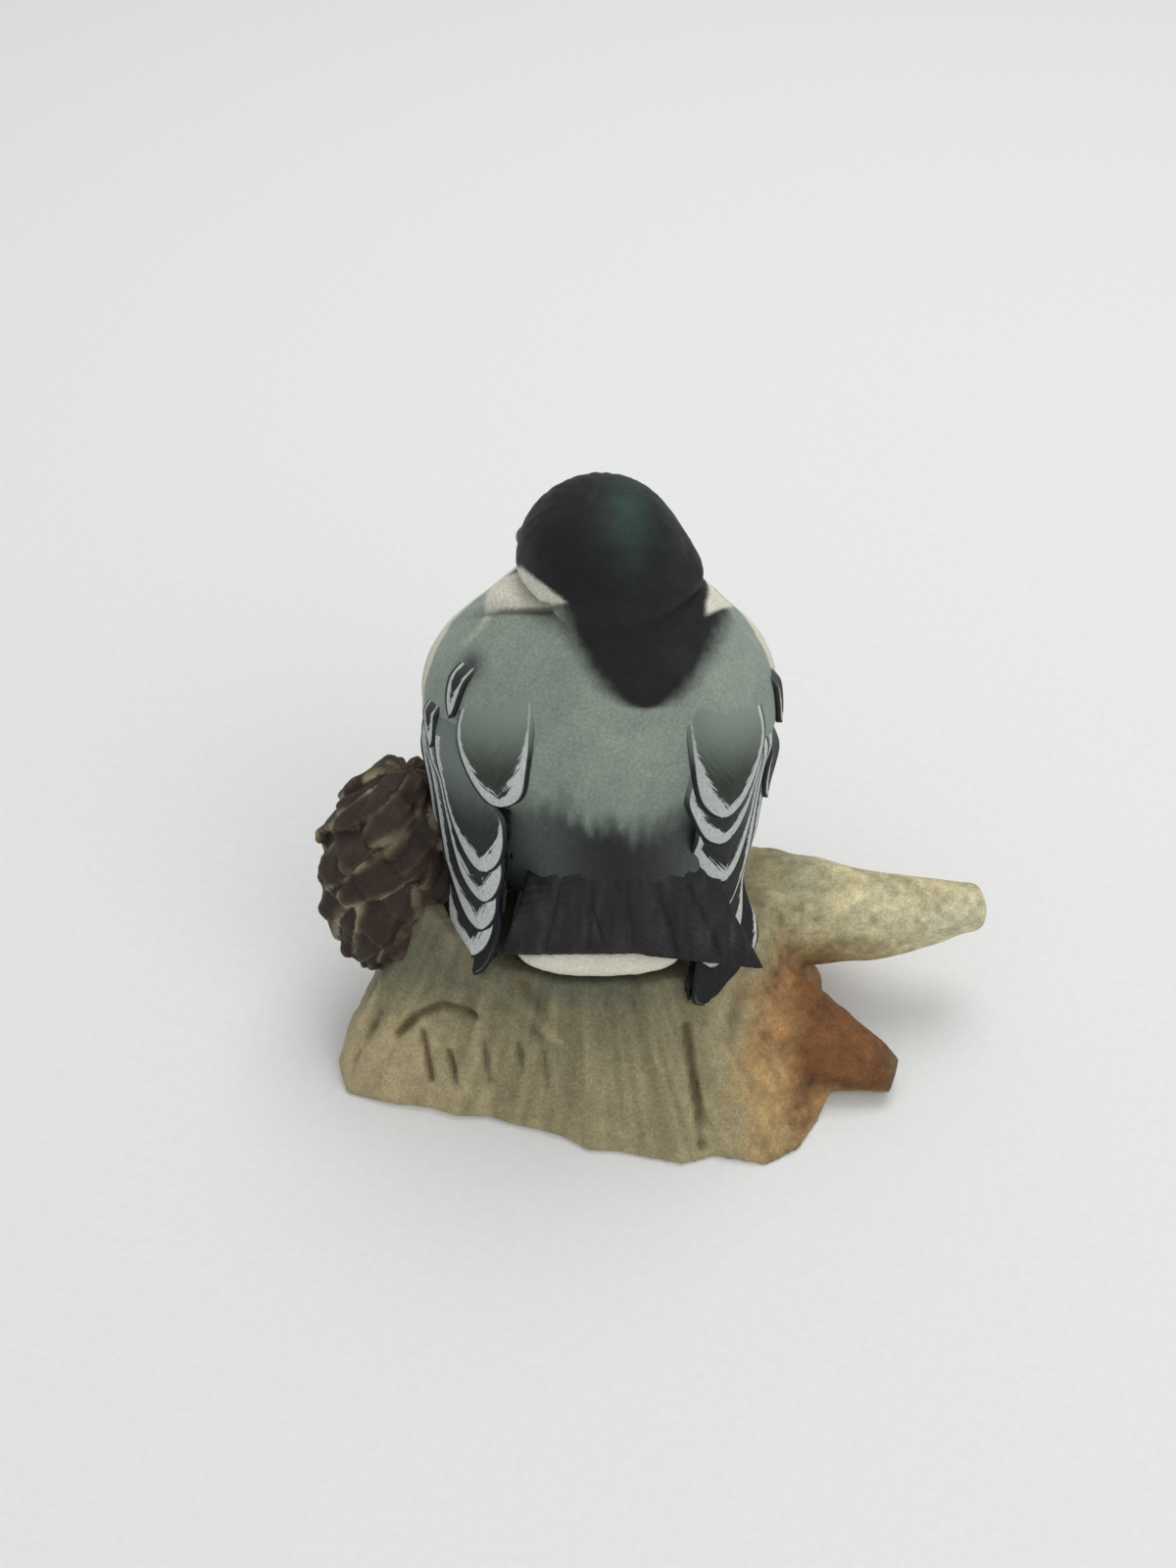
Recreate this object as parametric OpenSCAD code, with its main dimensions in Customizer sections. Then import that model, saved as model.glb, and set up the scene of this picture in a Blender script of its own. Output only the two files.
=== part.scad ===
// Porcelain figurine: a young cap-headed songbird perched on a broken tree stump,
// with a pine cone leaning on its left and a short branch reaching out to its right.
// Every sub-part is cast or modelled on its own and luted to its neighbours before firing.
// Frame: the figurine stands on z = 0, the bird looks along +Y, its right side is +X.
// All lengths are in millimetres and all angles in degrees.

/* [Bird] */
// Width of the bird's body without its wings
body_w = 38.4; // [34:0.2:40]
// Thickness of the modelled feathers and of the tail
feather_t = 1.5; // [1.1:0.1:2]
// Diameter of the head across the crown
head_d = 21; // [19.5:0.5:22]
// How far the head is turned towards the bird's left
head_turn = 18; // [0:1:30]
// How far the crown leans towards the bird's left
head_tilt = 14; // [0:1:16]
// Length of the bill in front of the face
bill_len = 5.2; // [4:0.1:6.5]
// Diameter of an eye
eye_d = 2.8; // [2:0.1:3.4]
// Half width of the tail at its free edge
tail_spread = 15.6; // [13:0.2:17]
// Thickness of a toe
toe_d = 2; // [1.6:0.1:2.4]

/* [Stump] */
// Scale of the stump's outline at the table
foot_scale = 1; // [0.95:0.01:1.05]
// Diameter of the vent hole underneath
vent_d = 6; // [4:0.5:7]
// Depth of the vent hole
vent_depth = 9; // [5:0.5:12]
// Depth of the gouges and ridges in the bark
bark_depth = 0.5; // [0.2:0.05:0.8]

/* [Branch] */
// How far the end of the branch lies from the middle of the stump
branch_reach = 51; // [47:0.5:54]
// Diameter of the branch where it leaves the stump
branch_root_d = 13; // [11:0.5:14]
// Diameter of the branch near its rounded end
branch_end_d = 7.2; // [6.5:0.1:9]
// How far the broken snag reaches to the right
snag_reach = 38.8; // [36:0.2:40]

/* [Pine cone] */
// Largest diameter over the scales
cone_d = 18; // [17:0.2:19]
// Length of the cone
cone_len = 27; // [25:0.5:29]
// Number of scales in one turn of a row
cone_scales = 6; // [5:1:7]

/* [Hidden] */

bisque = [0.86, 0.84, 0.78];
slate = [0.47, 0.53, 0.52];
ink = [0.13, 0.12, 0.13];
cream = [0.9, 0.87, 0.76];
cone_brown = [0.33, 0.25, 0.2];

// ---------- smooth curves and skins ----------

// Point at share u of the span between p1 and p2, on a curve that passes through both.
function curve(p0, p1, p2, p3, u) =
    0.5 * (2 * p1 + (p2 - p0) * u + (2 * p0 - 5 * p1 + 4 * p2 - p3) * u * u
    + (3 * p1 - p0 - 3 * p2 + p3) * u * u * u);

// Value at share t of the way along a list of stations.
function along(list, t) =
    let (last = len(list) - 1, s = min(max(t, 0), 0.99999) * last, i = floor(s))
    curve(list[max(i - 1, 0)], list[i], list[i + 1], list[min(i + 2, last)], s - i);

// The same on a closed list, where t = 1 comes back to the first station.
function around(list, t) =
    let (n = len(list), s = (t - floor(t)) * n, i = floor(s) % n)
    curve(list[(i + n - 1) % n], list[i], list[(i + 1) % n], list[(i + 2) % n], s - floor(s));

function mean(points) = [for (k = [0:2]) [for (p = points) p[k]] * [for (p = points) 1] / len(points)];
function unit(v) = v / norm(v);
function bump(x, middle, reach) = exp(-pow((x - middle) / reach, 2));

// Closed skin over rings of equal size, with a point in the middle of each end.
module skin(rings) {
    n = len(rings[0]);
    m = len(rings);
    points = concat([for (r = rings) each r], [mean(rings[0]), mean(rings[m - 1])]);
    sides = [for (i = [0:m - 2], j = [0:n - 1]) each [
        [i * n + j, (i + 1) * n + j, (i + 1) * n + (j + 1) % n],
        [i * n + j, (i + 1) * n + (j + 1) % n, i * n + (j + 1) % n]]];
    first = [for (j = [0:n - 1]) [m * n, j, (j + 1) % n]];
    last = [for (j = [0:n - 1]) [m * n + 1, (m - 1) * n + (j + 1) % n, (m - 1) * n + j]];
    polyhedron(points, concat(sides, first, last), convexity = 8);
}

// Round limb along a list of stations [x, y, z, radius]; every ring stands square to the path.
module limb(stations, rings = 10, sides = 16, rough = 0) {
    skin([for (i = [0:rings]) let (
            t = i / rings,
            s = along(stations, t),
            ahead = along(stations, min(t + 0.02, 1)),
            behind = along(stations, max(t - 0.02, 0)),
            way = unit([for (k = [0:2]) ahead[k] - behind[k]]),
            side = unit(cross(way, abs(way[2]) > 0.9 ? [0, 1, 0] : [0, 0, 1])),
            up = cross(side, way))
        [for (j = [0:sides - 1]) let (
                a = 360 * j / sides,
                r = s[3] * (1 + rough * sin(3 * a + 200 * t) + rough * sin(5 * a - 330 * t)))
            [s[0], s[1], s[2]] + r * (cos(a) * side - sin(a) * up)]]);
}

// Everything inside becomes one watertight skin, without changing its size.
module one_skin() {
    resize([0, 0, 0]) children();
}

// ---------- the bird's trunk ----------

// Stations up the trunk: height, sideways middle, front-back middle,
// half width as a share of the body's, depth behind, depth in front.
trunk = [
    [16.5, 1.0, -3.0, 0.34, 6.0, 7.0],
    [22.0, 1.0, -2.0, 0.64, 10.5, 11.0],
    [29.0, 1.0, 0.0, 0.87, 13.6, 14.5],
    [36.0, 1.0, 1.0, 0.97, 14.8, 16.8],
    [43.0, 1.2, 1.0, 1.00, 15.0, 17.4],
    [49.0, 1.4, 1.0, 0.97, 14.6, 16.4],
    [55.0, 1.5, 0.6, 0.87, 12.8, 14.4],
    [60.0, 1.6, 0.4, 0.71, 10.8, 12.2],
    [65.0, 2.0, 0.6, 0.45, 7.0, 8.0]];

// Stations of the surface the folded wings lie on; it runs on below the trunk to the wing tips.
mantle = [
    [14.0, 0.5, -4.0, 1.00, 21.5, 14.0],
    [20.0, 0.5, -4.0, 1.04, 20.2, 14.0],
    [27.0, 0.8, -2.5, 1.06, 17.8, 15.0],
    [35.0, 1.0, 0.0, 1.07, 15.6, 17.0],
    [43.0, 1.2, 1.0, 1.07, 15.6, 17.6],
    [49.0, 1.4, 1.0, 1.04, 15.0, 16.8],
    [55.0, 1.5, 0.6, 0.93, 13.2, 14.8],
    [61.0, 1.7, 0.4, 0.69, 10.6, 12.0]];

// Point on such a surface at angle a (0 is the bird's right, 90 its breast) and height z.
function station_at(list, z) =
    let (i = max([for (k = [0:len(list) - 2]) list[k][0] <= z ? k : 0]),
         u = (z - list[i][0]) / (list[i + 1][0] - list[i][0]))
    curve(list[max(i - 1, 0)], list[i], list[i + 1], list[min(i + 2, len(list) - 1)], u);

function on_shell(s, a, z) =
    [s[1] + s[3] * body_w / 2 * cos(a), s[2] + (sin(a) < 0 ? s[4] : s[5]) * sin(a), z];

function away(s, a) =
    unit([cos(a) / (s[3] * body_w / 2), sin(a) / (sin(a) < 0 ? s[4] : s[5]), 0.012]);

module trunk_shape() {
    rings = 16;
    sides = 30;
    skin([for (i = [0:rings]) let (s = along(trunk, i / rings))
        [for (j = [0:sides - 1]) on_shell(s, 360 * j / sides, s[0])]]);
}

module bird_body() {
    color(slate) one_skin() difference() {
        trunk_shape();
        stump_shape();
    }
}

// ---------- head ----------

head_at = [1.8, 1.2, 65.7];

// Half length of the head along a direction given in the head's own frame:
// full cheeks, a slightly flattened crown and a forehead that runs into the bill.
function head_reach(d) =
    head_d / 2 * (1
    + 0.13 * bump(d[2], -0.62, 0.3) * pow(d[0], 2)
    + 0.09 * bump(d[2], -0.3, 0.5) * max(d[1], 0)
    - 0.11 * bump(d[2], 0.35, 0.5) * pow(d[0], 2)
    - 0.02 * pow(max(d[2], 0), 3)
    + 0.05 * bump(d[2], 0.25, 0.3) * bump(abs(d[0]), 0.62, 0.3) * max(d[1], 0)
    + 0.10 * max(-d[2], 0) * max(-d[1], 0));

module head_shape() {
    rings = 16;
    sides = 28;
    translate(head_at) rotate([0, -head_tilt, head_turn])
    skin([for (i = [0:rings]) let (lat = -86 + 172 * i / rings)
        [for (j = [0:sides - 1]) let (
                lon = 360 * j / sides,
                d = [cos(lat) * cos(lon), cos(lat) * sin(lon), sin(lat)])
            d * head_reach(d)]]);
}

module head() {
    color(ink) one_skin() difference() {
        head_shape();
        trunk_shape();
        for (side = [-1, 1])
            at_eye(side) sphere(d = eye_d * 1.02, $fn = 20);
    }
}

// One half of the bill: side = 1 for the upper half, -1 for the lower one.
module bill_half(side) {
    rings = 8;
    sides = 14;
    length = side > 0 ? bill_len : bill_len * 0.9;
    translate(head_at) rotate([0, -head_tilt, head_turn])
    skin([for (i = [0:rings]) let (
            t = i / rings,
            w = 2.5 * (1 - 0.86 * pow(t, 1.25)),
            deep = (side > 0 ? 2.1 : 1.6) * (1 - 0.82 * pow(t, 1.4)),
            reach = head_d / 2 - 1.5 + (length + 1.5) * t)
        [for (j = [0:sides - 1]) let (
                a = 360 * j / sides,
                rise = side * sin(a) > 0 ? deep * sin(a) : 0.12 * side * abs(sin(a)))
            [-w * cos(a), reach, -1.6 - 0.9 * t * t + rise + side * 0.02]]]);
}

module upper_bill() {
    color(ink) one_skin() difference() {
        bill_half(1);
        head_shape();
    }
}

module lower_bill() {
    color(ink) one_skin() difference() {
        bill_half(-1);
        head_shape();
    }
}

// Places an eye half sunk in its socket: side = -1 for the left eye, 1 for the right one.
module at_eye(side) {
    way = unit([0.64 * side, 0.74, 0.2]);
    translate(head_at) rotate([0, -head_tilt, head_turn])
        translate(way * (head_reach(way) - eye_d * 0.3))
            children();
}

module eye(side) {
    color(ink) at_eye(side) sphere(d = eye_d);
}

module left_eye() {
    eye(-1);
}

module right_eye() {
    eye(1);
}

// ---------- feathers ----------

// Width of a feather along its length: full from the root, then a round U-shaped tip.
function feather_width(s, point) =
    s < 1 - point ? 1 - 0.18 * pow(1 - s, 2) : sqrt(max(1 - pow((s - 1 + point) / point, 2), 0.02));

// Curved feather lying on the wing surface. Root and tip are [angle, height];
// rise lifts it off the surface, point is the share of the length taken by its tip.
module feather(root, tip, half, rise, point = 0.3, bend = 0) {
    rows = 8;
    steps = 5;
    function top(i, j) =
        let (s = i / rows,
             c = 2 * j / steps - 1,
             m = root + (tip - root) * s + [bend * sin(180 * s), 0],
             z = m[1] - 0.35 * half * s * (1 - c * c * feather_width(s, point)),
             st = station_at(mantle, z),
             a = m[0] + c * half * feather_width(s, point) / (st[3] * body_w / 2) * 57.3,
             lift = rise - 0.3 * c * c)
        on_shell(st, a, z) + lift * away(st, a);
    function under(i, j) =
        let (s = i / rows,
             z = root[1] + (tip[1] - root[1]) * s,
             p = top(i, j),
             st = station_at(mantle, z),
             hub = [st[1], st[2], p[2]])
        p - feather_t * (1.1 + 2.2 * pow(1 - s, 1.5)) * unit(p - hub);
    skin([for (i = [0:rows]) concat(
        [for (j = [steps:-1:0]) top(i, j)],
        [for (j = [0:steps]) under(i, j)])]);
}

// Feathers from a list of rows [root angle, root height, tip angle, tip height, half width, rise].
module feather_rows(side, rows, point, bend = 0) {
    for (r = rows)
        if (side > 0)
            feather([r[0], r[1]], [r[2], r[3]], r[4], r[5], point, bend);
        else
            feather([180 - r[0], r[1]], [180 - r[2], r[3]], r[4], r[5], point, -bend);
}

// Shoulder shield, the last smooth feather of the back and the small feathers in front.
module coverts_shape(side) {
    feather_rows(side, [
        [-30, 60.5, -27, 45.0, 8.2, 1.3],
        [-9, 57.5, -11, 42.6, 4.4, 0.7],
        side > 0 ? [-43, 59.4, -47.5, 39.4, 4.5, 2.0] : [-47, 59.4, -58, 42.8, 4.6, 2.0]], 0.42);
}

// Broad round-tipped feathers, each one showing below the last.
module tertials_shape(side) {
    feather_rows(side, side > 0
        ? [[-40, 51, -47.8, 34.8, 4.6, 1.45], [-37, 46.5, -47.2, 30.9, 4.4, 0.9],
           [-34, 41.5, -46, 27.4, 4.2, 0.35]]
        : [[-42, 51, -52.6, 33.6, 4.8, 1.5], [-38, 46, -51.7, 29.6, 4.8, 0.9],
           [-35, 41, -50.4, 26.1, 4.7, 0.3]], 0.3);
}

// Long narrow flight feathers along the outer edge down to the wing tip.
module primaries_shape(side) {
    low = side > 0 ? 15 : 20.6;
    feather_rows(side, [
        [-32, 40, -48, low, 3.9, -0.1],
        [-24, 47, -35, 25, 3.6, 0.3],
        [-13, 49, -23, 32, 3.6, 0.7],
        [-3, 51, -12, 39, 3.4, 1.1]], 0.34);
}

module wing_coverts(side) {
    color(slate) one_skin() difference() {
        coverts_shape(side);
        trunk_shape();
        tail_shape();
    }
}

module wing_tertials(side) {
    color(slate) one_skin() difference() {
        tertials_shape(side);
        coverts_shape(side);
        trunk_shape();
        tail_shape();
    }
}

module wing_primaries(side) {
    color(ink) one_skin() difference() {
        primaries_shape(side);
        coverts_shape(side);
        tertials_shape(side);
        trunk_shape();
        tail_shape();
        stump_shape();
    }
}

module left_wing_coverts() {
    wing_coverts(-1);
}

module left_wing_tertials() {
    wing_tertials(-1);
}

module left_wing_primaries() {
    wing_primaries(-1);
}

module right_wing_coverts() {
    wing_coverts(1);
}

module right_wing_tertials() {
    wing_tertials(1);
}

module right_wing_primaries() {
    wing_primaries(1);
}

// ---------- tail ----------

// Fan of feathers pressed together, with a shallow notch in the free edge.
module tail_shape() {
    rows = 6;
    steps = 24;
    function spread(s) = 8.2 + (tail_spread - 8.2) * pow(s, 1.25);
    function top(i, j) =
        let (s = i / rows,
             c = 2 * j / steps - 1,
             edge = 1 + 0.10 * abs(c) - 0.03 * abs(sin(540 * c)))
        [3.2 + 2.0 * s + c * spread(s),
         -12.4 - 7.6 * pow(s, 1.1) - 1.1 * s * c + 1.6 * c * c * (1 - s)
         - 0.28 * abs(sin(540 * c)) * s,
         40 - 16.0 * s * edge + 0.6 * (1 - c * c)];
    skin([for (i = [0:rows]) concat(
        [for (j = [steps:-1:0]) top(i, j)],
        [for (j = [0:steps]) top(i, j) + [0, feather_t * 0.9, -feather_t * 0.8]])]);
}

module tail() {
    color(ink) one_skin() difference() {
        tail_shape();
        trunk_shape();
    }
}

// Soft pale feathers filling the space between the tail and the stump.
// Stations front to back: depth, height, half width, half thickness.
undertail = [[-5, 25, 8.5, 7.5], [-11, 23, 10.4, 6.6], [-15.5, 21.9, 10.8, 4.8],
             [-18.8, 21.3, 9.4, 2.9], [-20.2, 21.2, 6.4, 1.5], [-20.8, 21.2, 2.4, 0.5]];

module undertail_shape() {
    rings = 10;
    sides = 22;
    skin([for (i = [0:rings]) let (s = along(undertail, i / rings))
        [for (j = [0:sides - 1]) let (a = 360 * j / sides)
            [1.4 + s[2] * cos(a), s[0], s[1] + s[3] * sin(a)]]]);
}

module undertail_coverts() {
    color(cream) one_skin() difference() {
        undertail_shape();
        trunk_shape();
        tail_shape();
        stump_shape();
        for (side = [-1, 1]) {
            primaries_shape(side);
            tertials_shape(side);
        }
    }
}

// ---------- flanks ----------

// Fluffed feathers in front of the folded wing, a soft pad on the side of the trunk.
module flank_shape(side) {
    rings = 12;
    sides = 16;
    skin([for (i = [0:rings]) let (
            t = i / rings,
            st = station_at(trunk, 29.5 + 30 * t),
            full = pow(sin(180 * (0.03 + 0.94 * t)), 0.6))
        [for (j = [0:sides - 1]) let (
                b = 360 * (side > 0 ? sides - 1 - j : j) / sides,
                a = 22 + 27 * full * cos(b) + 2 * sin(400 * t),
                lift = -2 + (5 + 0.35 * sin(900 * t + 3 * b)) * full * (0.3 + 0.7 * sin(b)),
                p = on_shell(st, side > 0 ? a : 180 - a, st[0]))
            p + lift * away(st, side > 0 ? a : 180 - a)]]);
}

module flank(side) {
    color(cream) one_skin() difference() {
        flank_shape(side);
        trunk_shape();
        coverts_shape(side);
        tertials_shape(side);
        primaries_shape(side);
    }
}

module left_flank() {
    flank(-1);
}

module right_flank() {
    flank(1);
}

// ---------- feet ----------

// Three toes over the rim of the stump and the lower leg above them.
module foot(side) {
    x = 1 + 7 * side;
    color(ink) one_skin() difference() {
        union() {
            limb([[x, 7, 27, 1.8], [x, 8.6, 24, 1.4], [x, 9.6, 21.6, 1.3]], 4, 10);
            for (spread = [-1, 0, 1])
                limb([
                    [x, 9.4, 21.6, toe_d * 0.6],
                    [x + 1.5 * spread, 11.6, 21.6, toe_d * 0.54],
                    [x + 2.7 * spread, 13.6, 20.9, toe_d * 0.5],
                    [x + 3.4 * spread, 15.2, 19.0, toe_d * 0.4],
                    [x + 3.6 * spread, 15.8, 17.4, toe_d * 0.16]], 7, 8);
        }
        trunk_shape();
        stump_shape();
    }
}

module left_foot() {
    foot(-1);
}

module right_foot() {
    foot(1);
}

// ---------- stump ----------

stump_mid = [0, -5];

// Reach of the outline from the middle, every 15 degrees from the bird's left round its back.
foot_reach = [29.5, 34, 36.4, 29.8, 26, 25.6, 26.8, 30, 34, 38.6, 36.4, 33,
              32, 28, 25, 24, 24, 25, 26, 26, 25.5, 25.5, 26, 27.5];
// Reach and height of the broken rim, every 30 degrees in the same order.
rim_reach = [21.5, 21, 17, 14.5, 17, 22, 23.5, 21, 19, 19, 18, 19.5];
rim_height = [27, 24.5, 20, 18, 18.5, 18.5, 19.5, 20.5, 20.5, 20, 21, 25];

// Outer surface of the stump at angle a and share t of the way up.
function stump_point(a, t) =
    let (q = (a + 180) / 360,
         foot = around(foot_reach, q) * foot_scale,
         rim = around(rim_reach, q),
         tall = around(rim_height, q),
         lip = t < 0.12 ? -1.4 * pow(1 - t / 0.12, 2) : 0,
         bark = bark_depth * (0.7 * sin(11 * a + 60 * t) + 0.5 * sin(19 * a - 90 * t)
                              + 0.35 * sin(31 * a + 150 * t)),
         groove = -2.2 * bump(a, -62, 3.2) * bump(t, 0.25, 0.55)
                  - 1.3 * bump(a, -118, 4) * bump(t, 0.6, 0.3)
                  + 1.5 * bump(a, -108 - 26 * t, 5) * bump(t, 0.75, 0.3)
                  - 1.2 * bump(a, -166, 5) * bump(t, 0.3, 0.25),
         r = rim + (foot - rim) * pow(1 - t, 1.25) + lip + bark + groove)
    [stump_mid[0] + r * cos(a), stump_mid[1] + r * sin(a), tall * t];

function stump_ring(t, sides) = [for (j = [0:sides - 1]) stump_point(360 * j / sides - 180, t)];
function flat_ring(r, z, sides) =
    [for (j = [0:sides - 1]) let (a = 360 * j / sides - 180)
        [stump_mid[0] + r * cos(a), stump_mid[1] + r * sin(a), z]];

// Part of the top dish, at share k of the way in from the rim.
function dish_ring(k, sides) =
    [for (j = [0:sides - 1]) let (
            p = stump_point(360 * j / sides - 180, 1),
            q = [stump_mid[0], stump_mid[1], 17.5 + 1.5 * cos(180 * k)])
        [p[0] + (q[0] - p[0]) * k, p[1] + (q[1] - p[1]) * k,
         p[2] + (q[2] - p[2]) * (1 - pow(1 - k, 2.2))]];

module stump_shape() {
    sides = 48;
    skin(concat(
        [flat_ring(vent_d / 2 * 0.5, vent_depth, sides), flat_ring(vent_d / 2, vent_depth * 0.85, sides),
         flat_ring(vent_d / 2, 0, sides)],
        [for (t = [0, 0.03, 0.07, 0.12, 0.2, 0.3, 0.4, 0.5, 0.6, 0.7, 0.8, 0.9, 0.97]) stump_ring(t, sides)],
        [for (k = [0.02, 0.12, 0.3, 0.55, 0.85]) dish_ring(k, sides)]));
}

module stump() {
    color(bisque) one_skin() stump_shape();
}

// ---------- branch and snag ----------

module branch_shape() {
    r0 = branch_root_d / 2;
    r1 = branch_end_d / 2;
    x1 = branch_reach - r1;
    limb([
        [15, -0.8, 11.5, r0 * 1.2],
        [21, -1.4, 12.2, r0 * 1.18],
        [27, -2.6, 12.6, r0 * 1.12],
        [34, -4.0, 13.3, r0 * 0.94],
        [41, -4.7, 14.1, (r0 + r1) * 0.49],
        [x1, -4.7, 15.1, r1],
        [x1 + r1 * 0.75, -4.7, 15.3, r1 * 0.78],
        [branch_reach, -4.7, 15.4, r1 * 0.12]], 18, 20, 0.02);
}

module branch() {
    color(bisque) one_skin() difference() {
        branch_shape();
        stump_shape();
    }
}

module snag_shape() {
    intersection() {
        limb([
            [20, -13, 4.4, 8.2],
            [27, -16.8, 4.2, 6.8],
            [32, -19.2, 3.4, 4.9],
            [36, -20.8, 2.8, 3.3],
            [snag_reach, -21.8, 2.4, 2.3]], 10, 16, 0.05);
        translate([0, -40, 0.3]) cube([60, 60, 30]);
    }
}

module broken_snag() {
    color(bisque) one_skin() difference() {
        snag_shape();
        stump_shape();
        branch_shape();
    }
}

// ---------- pine cone ----------

cone_top = [-21.6, -0.4, 35.8];
cone_way = unit([-5.6, -10.6, -25]);
cone_side = unit(cross(cone_way, [0, 1, 0]));
cone_up = cross(cone_side, cone_way);

// Half thickness of the cone at share t of its length, from the stalk end to the tip.
function cone_girth(t) = cone_d / 2 * pow(sin(180 * (0.12 + 0.85 * pow(max(t, 0), 0.95))), 0.62);

function on_cone(t, a, out = 0) =
    cone_top + cone_way * cone_len * t + (cone_girth(t) + out) * (cos(a) * cone_side + sin(a) * cone_up);

module cone_core_shape() {
    rings = 12;
    sides = 18;
    skin([for (i = [0:rings]) let (t = i / rings)
        [for (j = [0:sides - 1]) on_cone(t, -360 * j / sides, -0.27 * cone_girth(t))]]);
}

// One long overlapping scale, thickest at its raised tip and rooted in the core.
module cone_scale(t, a) {
    rows = 4;
    wide = 310 / cone_scales;
    function place(i) = min(max(t + 0.3 * i / rows - 0.1, 0.004), 0.97 + 0.01 * i / rows);
    function width(i) = wide * sin(28 + 140 * pow(i / rows, 1.1)) * (i == rows ? 0.6 : 1);
    function rim(i, c, out) = on_cone(place(i), a + 24 * i / rows + c * width(i) / 2, out);
    skin([for (i = [0:rows]) let (
            lift = -1.1 + 1.5 * pow(i / rows, 1.4),
            deep = -0.55 * cone_girth(place(i)))
        [rim(i, 1, lift - 0.1), rim(i, 0.35, lift + 0.15), rim(i, -0.35, lift + 0.15),
         rim(i, -1, lift - 0.1), rim(i, -0.5, deep), rim(i, 0.5, deep)]]);
}

// Scales of the rows first to last, each row turned half a step from the one above.
module cone_rows(first, last) {
    for (row = [first:last], k = [0:cone_scales - 1])
        cone_scale(0.108 + 0.106 * row, 360 / cone_scales * (k + 0.5 * row));
}

// What the cone is luted against.
module beside_cone() {
    stump_shape();
    trunk_shape();
    coverts_shape(-1);
    tertials_shape(-1);
    primaries_shape(-1);
}

module cone_core() {
    color(cone_brown) one_skin() difference() {
        cone_core_shape();
        beside_cone();
    }
}

module cone_scales_top() {
    color(cone_brown) one_skin() difference() {
        cone_rows(0, 1);
        cone_core_shape();
        beside_cone();
    }
}

module cone_scales_middle() {
    color(cone_brown) one_skin() difference() {
        cone_rows(2, 4);
        cone_rows(0, 1);
        cone_core_shape();
        beside_cone();
    }
}

module cone_scales_tip() {
    color(cone_brown) one_skin() difference() {
        cone_rows(5, 7);
        cone_rows(3, 4);
        cone_core_shape();
        beside_cone();
    }
}

// ---------- choosing what is drawn ----------

stump();
branch();
broken_snag();
cone_core();
cone_scales_top();
cone_scales_middle();
cone_scales_tip();
bird_body();
head();
upper_bill();
lower_bill();
left_eye();
right_eye();
left_wing_coverts();
left_wing_tertials();
left_wing_primaries();
right_wing_coverts();
right_wing_tertials();
right_wing_primaries();
tail();
undertail_coverts();
left_flank();
right_flank();
left_foot();
right_foot();
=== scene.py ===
"""Looks of the porcelain bird figurine: sculpted skins, painted feathers, bark, cone, floor and light."""
import math

import bpy
import numpy as np
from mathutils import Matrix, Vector
from mathutils.bvhtree import BVHTree


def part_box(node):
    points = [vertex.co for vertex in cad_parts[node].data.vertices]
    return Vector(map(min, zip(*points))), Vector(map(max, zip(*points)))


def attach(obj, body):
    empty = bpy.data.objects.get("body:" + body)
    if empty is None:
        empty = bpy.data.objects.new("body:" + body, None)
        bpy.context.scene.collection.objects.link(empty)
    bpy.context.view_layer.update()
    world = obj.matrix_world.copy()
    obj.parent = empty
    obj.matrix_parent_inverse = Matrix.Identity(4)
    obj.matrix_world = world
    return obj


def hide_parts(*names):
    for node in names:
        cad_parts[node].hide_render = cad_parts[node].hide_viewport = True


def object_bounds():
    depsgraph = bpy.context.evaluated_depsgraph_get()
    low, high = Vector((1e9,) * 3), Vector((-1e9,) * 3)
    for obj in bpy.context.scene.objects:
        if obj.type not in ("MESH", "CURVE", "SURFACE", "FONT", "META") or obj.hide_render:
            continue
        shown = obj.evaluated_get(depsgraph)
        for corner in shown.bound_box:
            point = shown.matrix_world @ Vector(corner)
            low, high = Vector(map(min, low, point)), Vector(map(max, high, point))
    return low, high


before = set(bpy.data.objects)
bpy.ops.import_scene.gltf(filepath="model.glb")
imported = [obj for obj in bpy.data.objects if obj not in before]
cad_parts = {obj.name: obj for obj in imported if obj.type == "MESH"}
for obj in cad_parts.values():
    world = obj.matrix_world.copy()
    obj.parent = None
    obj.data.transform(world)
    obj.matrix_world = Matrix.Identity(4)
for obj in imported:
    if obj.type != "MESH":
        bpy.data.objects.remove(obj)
cad_lo, cad_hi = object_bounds()

DESIGN_HEIGHT = 76.0                                # the figurine's height in design millimetres
MM = (cad_hi.z - cad_lo.z) / DESIGN_HEIGHT          # one design millimetre in metres


def mm(*p):
    """A point in design millimetres, from the middle of the stump's underside, as metres."""
    return np.array(p, float) * MM


# ---------------------------------------------------------------- numbers and noise

def smooth(lo, hi, x):
    """0 below lo, 1 above hi, smooth between."""
    t = np.clip((np.asarray(x, float) - lo) / (hi - lo), 0, 1)
    return t * t * (3 - 2 * t)


def bell(x, middle, width):
    return np.exp(-((np.asarray(x, float) - middle) / width) ** 2)


def hashed(i, j, k, seed):
    h = (i * 374761393 + j * 668265263 + k * 2147483647 + seed * 974634777) & 0xFFFFFFFF
    h = ((h ^ (h >> 13)) * 1274126177) & 0xFFFFFFFF
    return ((h ^ (h >> 16)) & 0xFFFF) / 32767.5 - 1


def value_noise(p, seed=0):
    """Smooth noise from -1 to 1 at points p, one lattice cell per unit."""
    base = np.floor(p).astype(np.int64)
    f = p - base
    f = f * f * (3 - 2 * f)
    total = 0
    for corner in range(8):
        d = np.array([corner & 1, corner >> 1 & 1, corner >> 2])
        w = np.prod(np.where(d, f, 1 - f), axis=1)
        q = base + d
        total = total + w * hashed(q[:, 0], q[:, 1], q[:, 2], seed)
    return total


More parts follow.
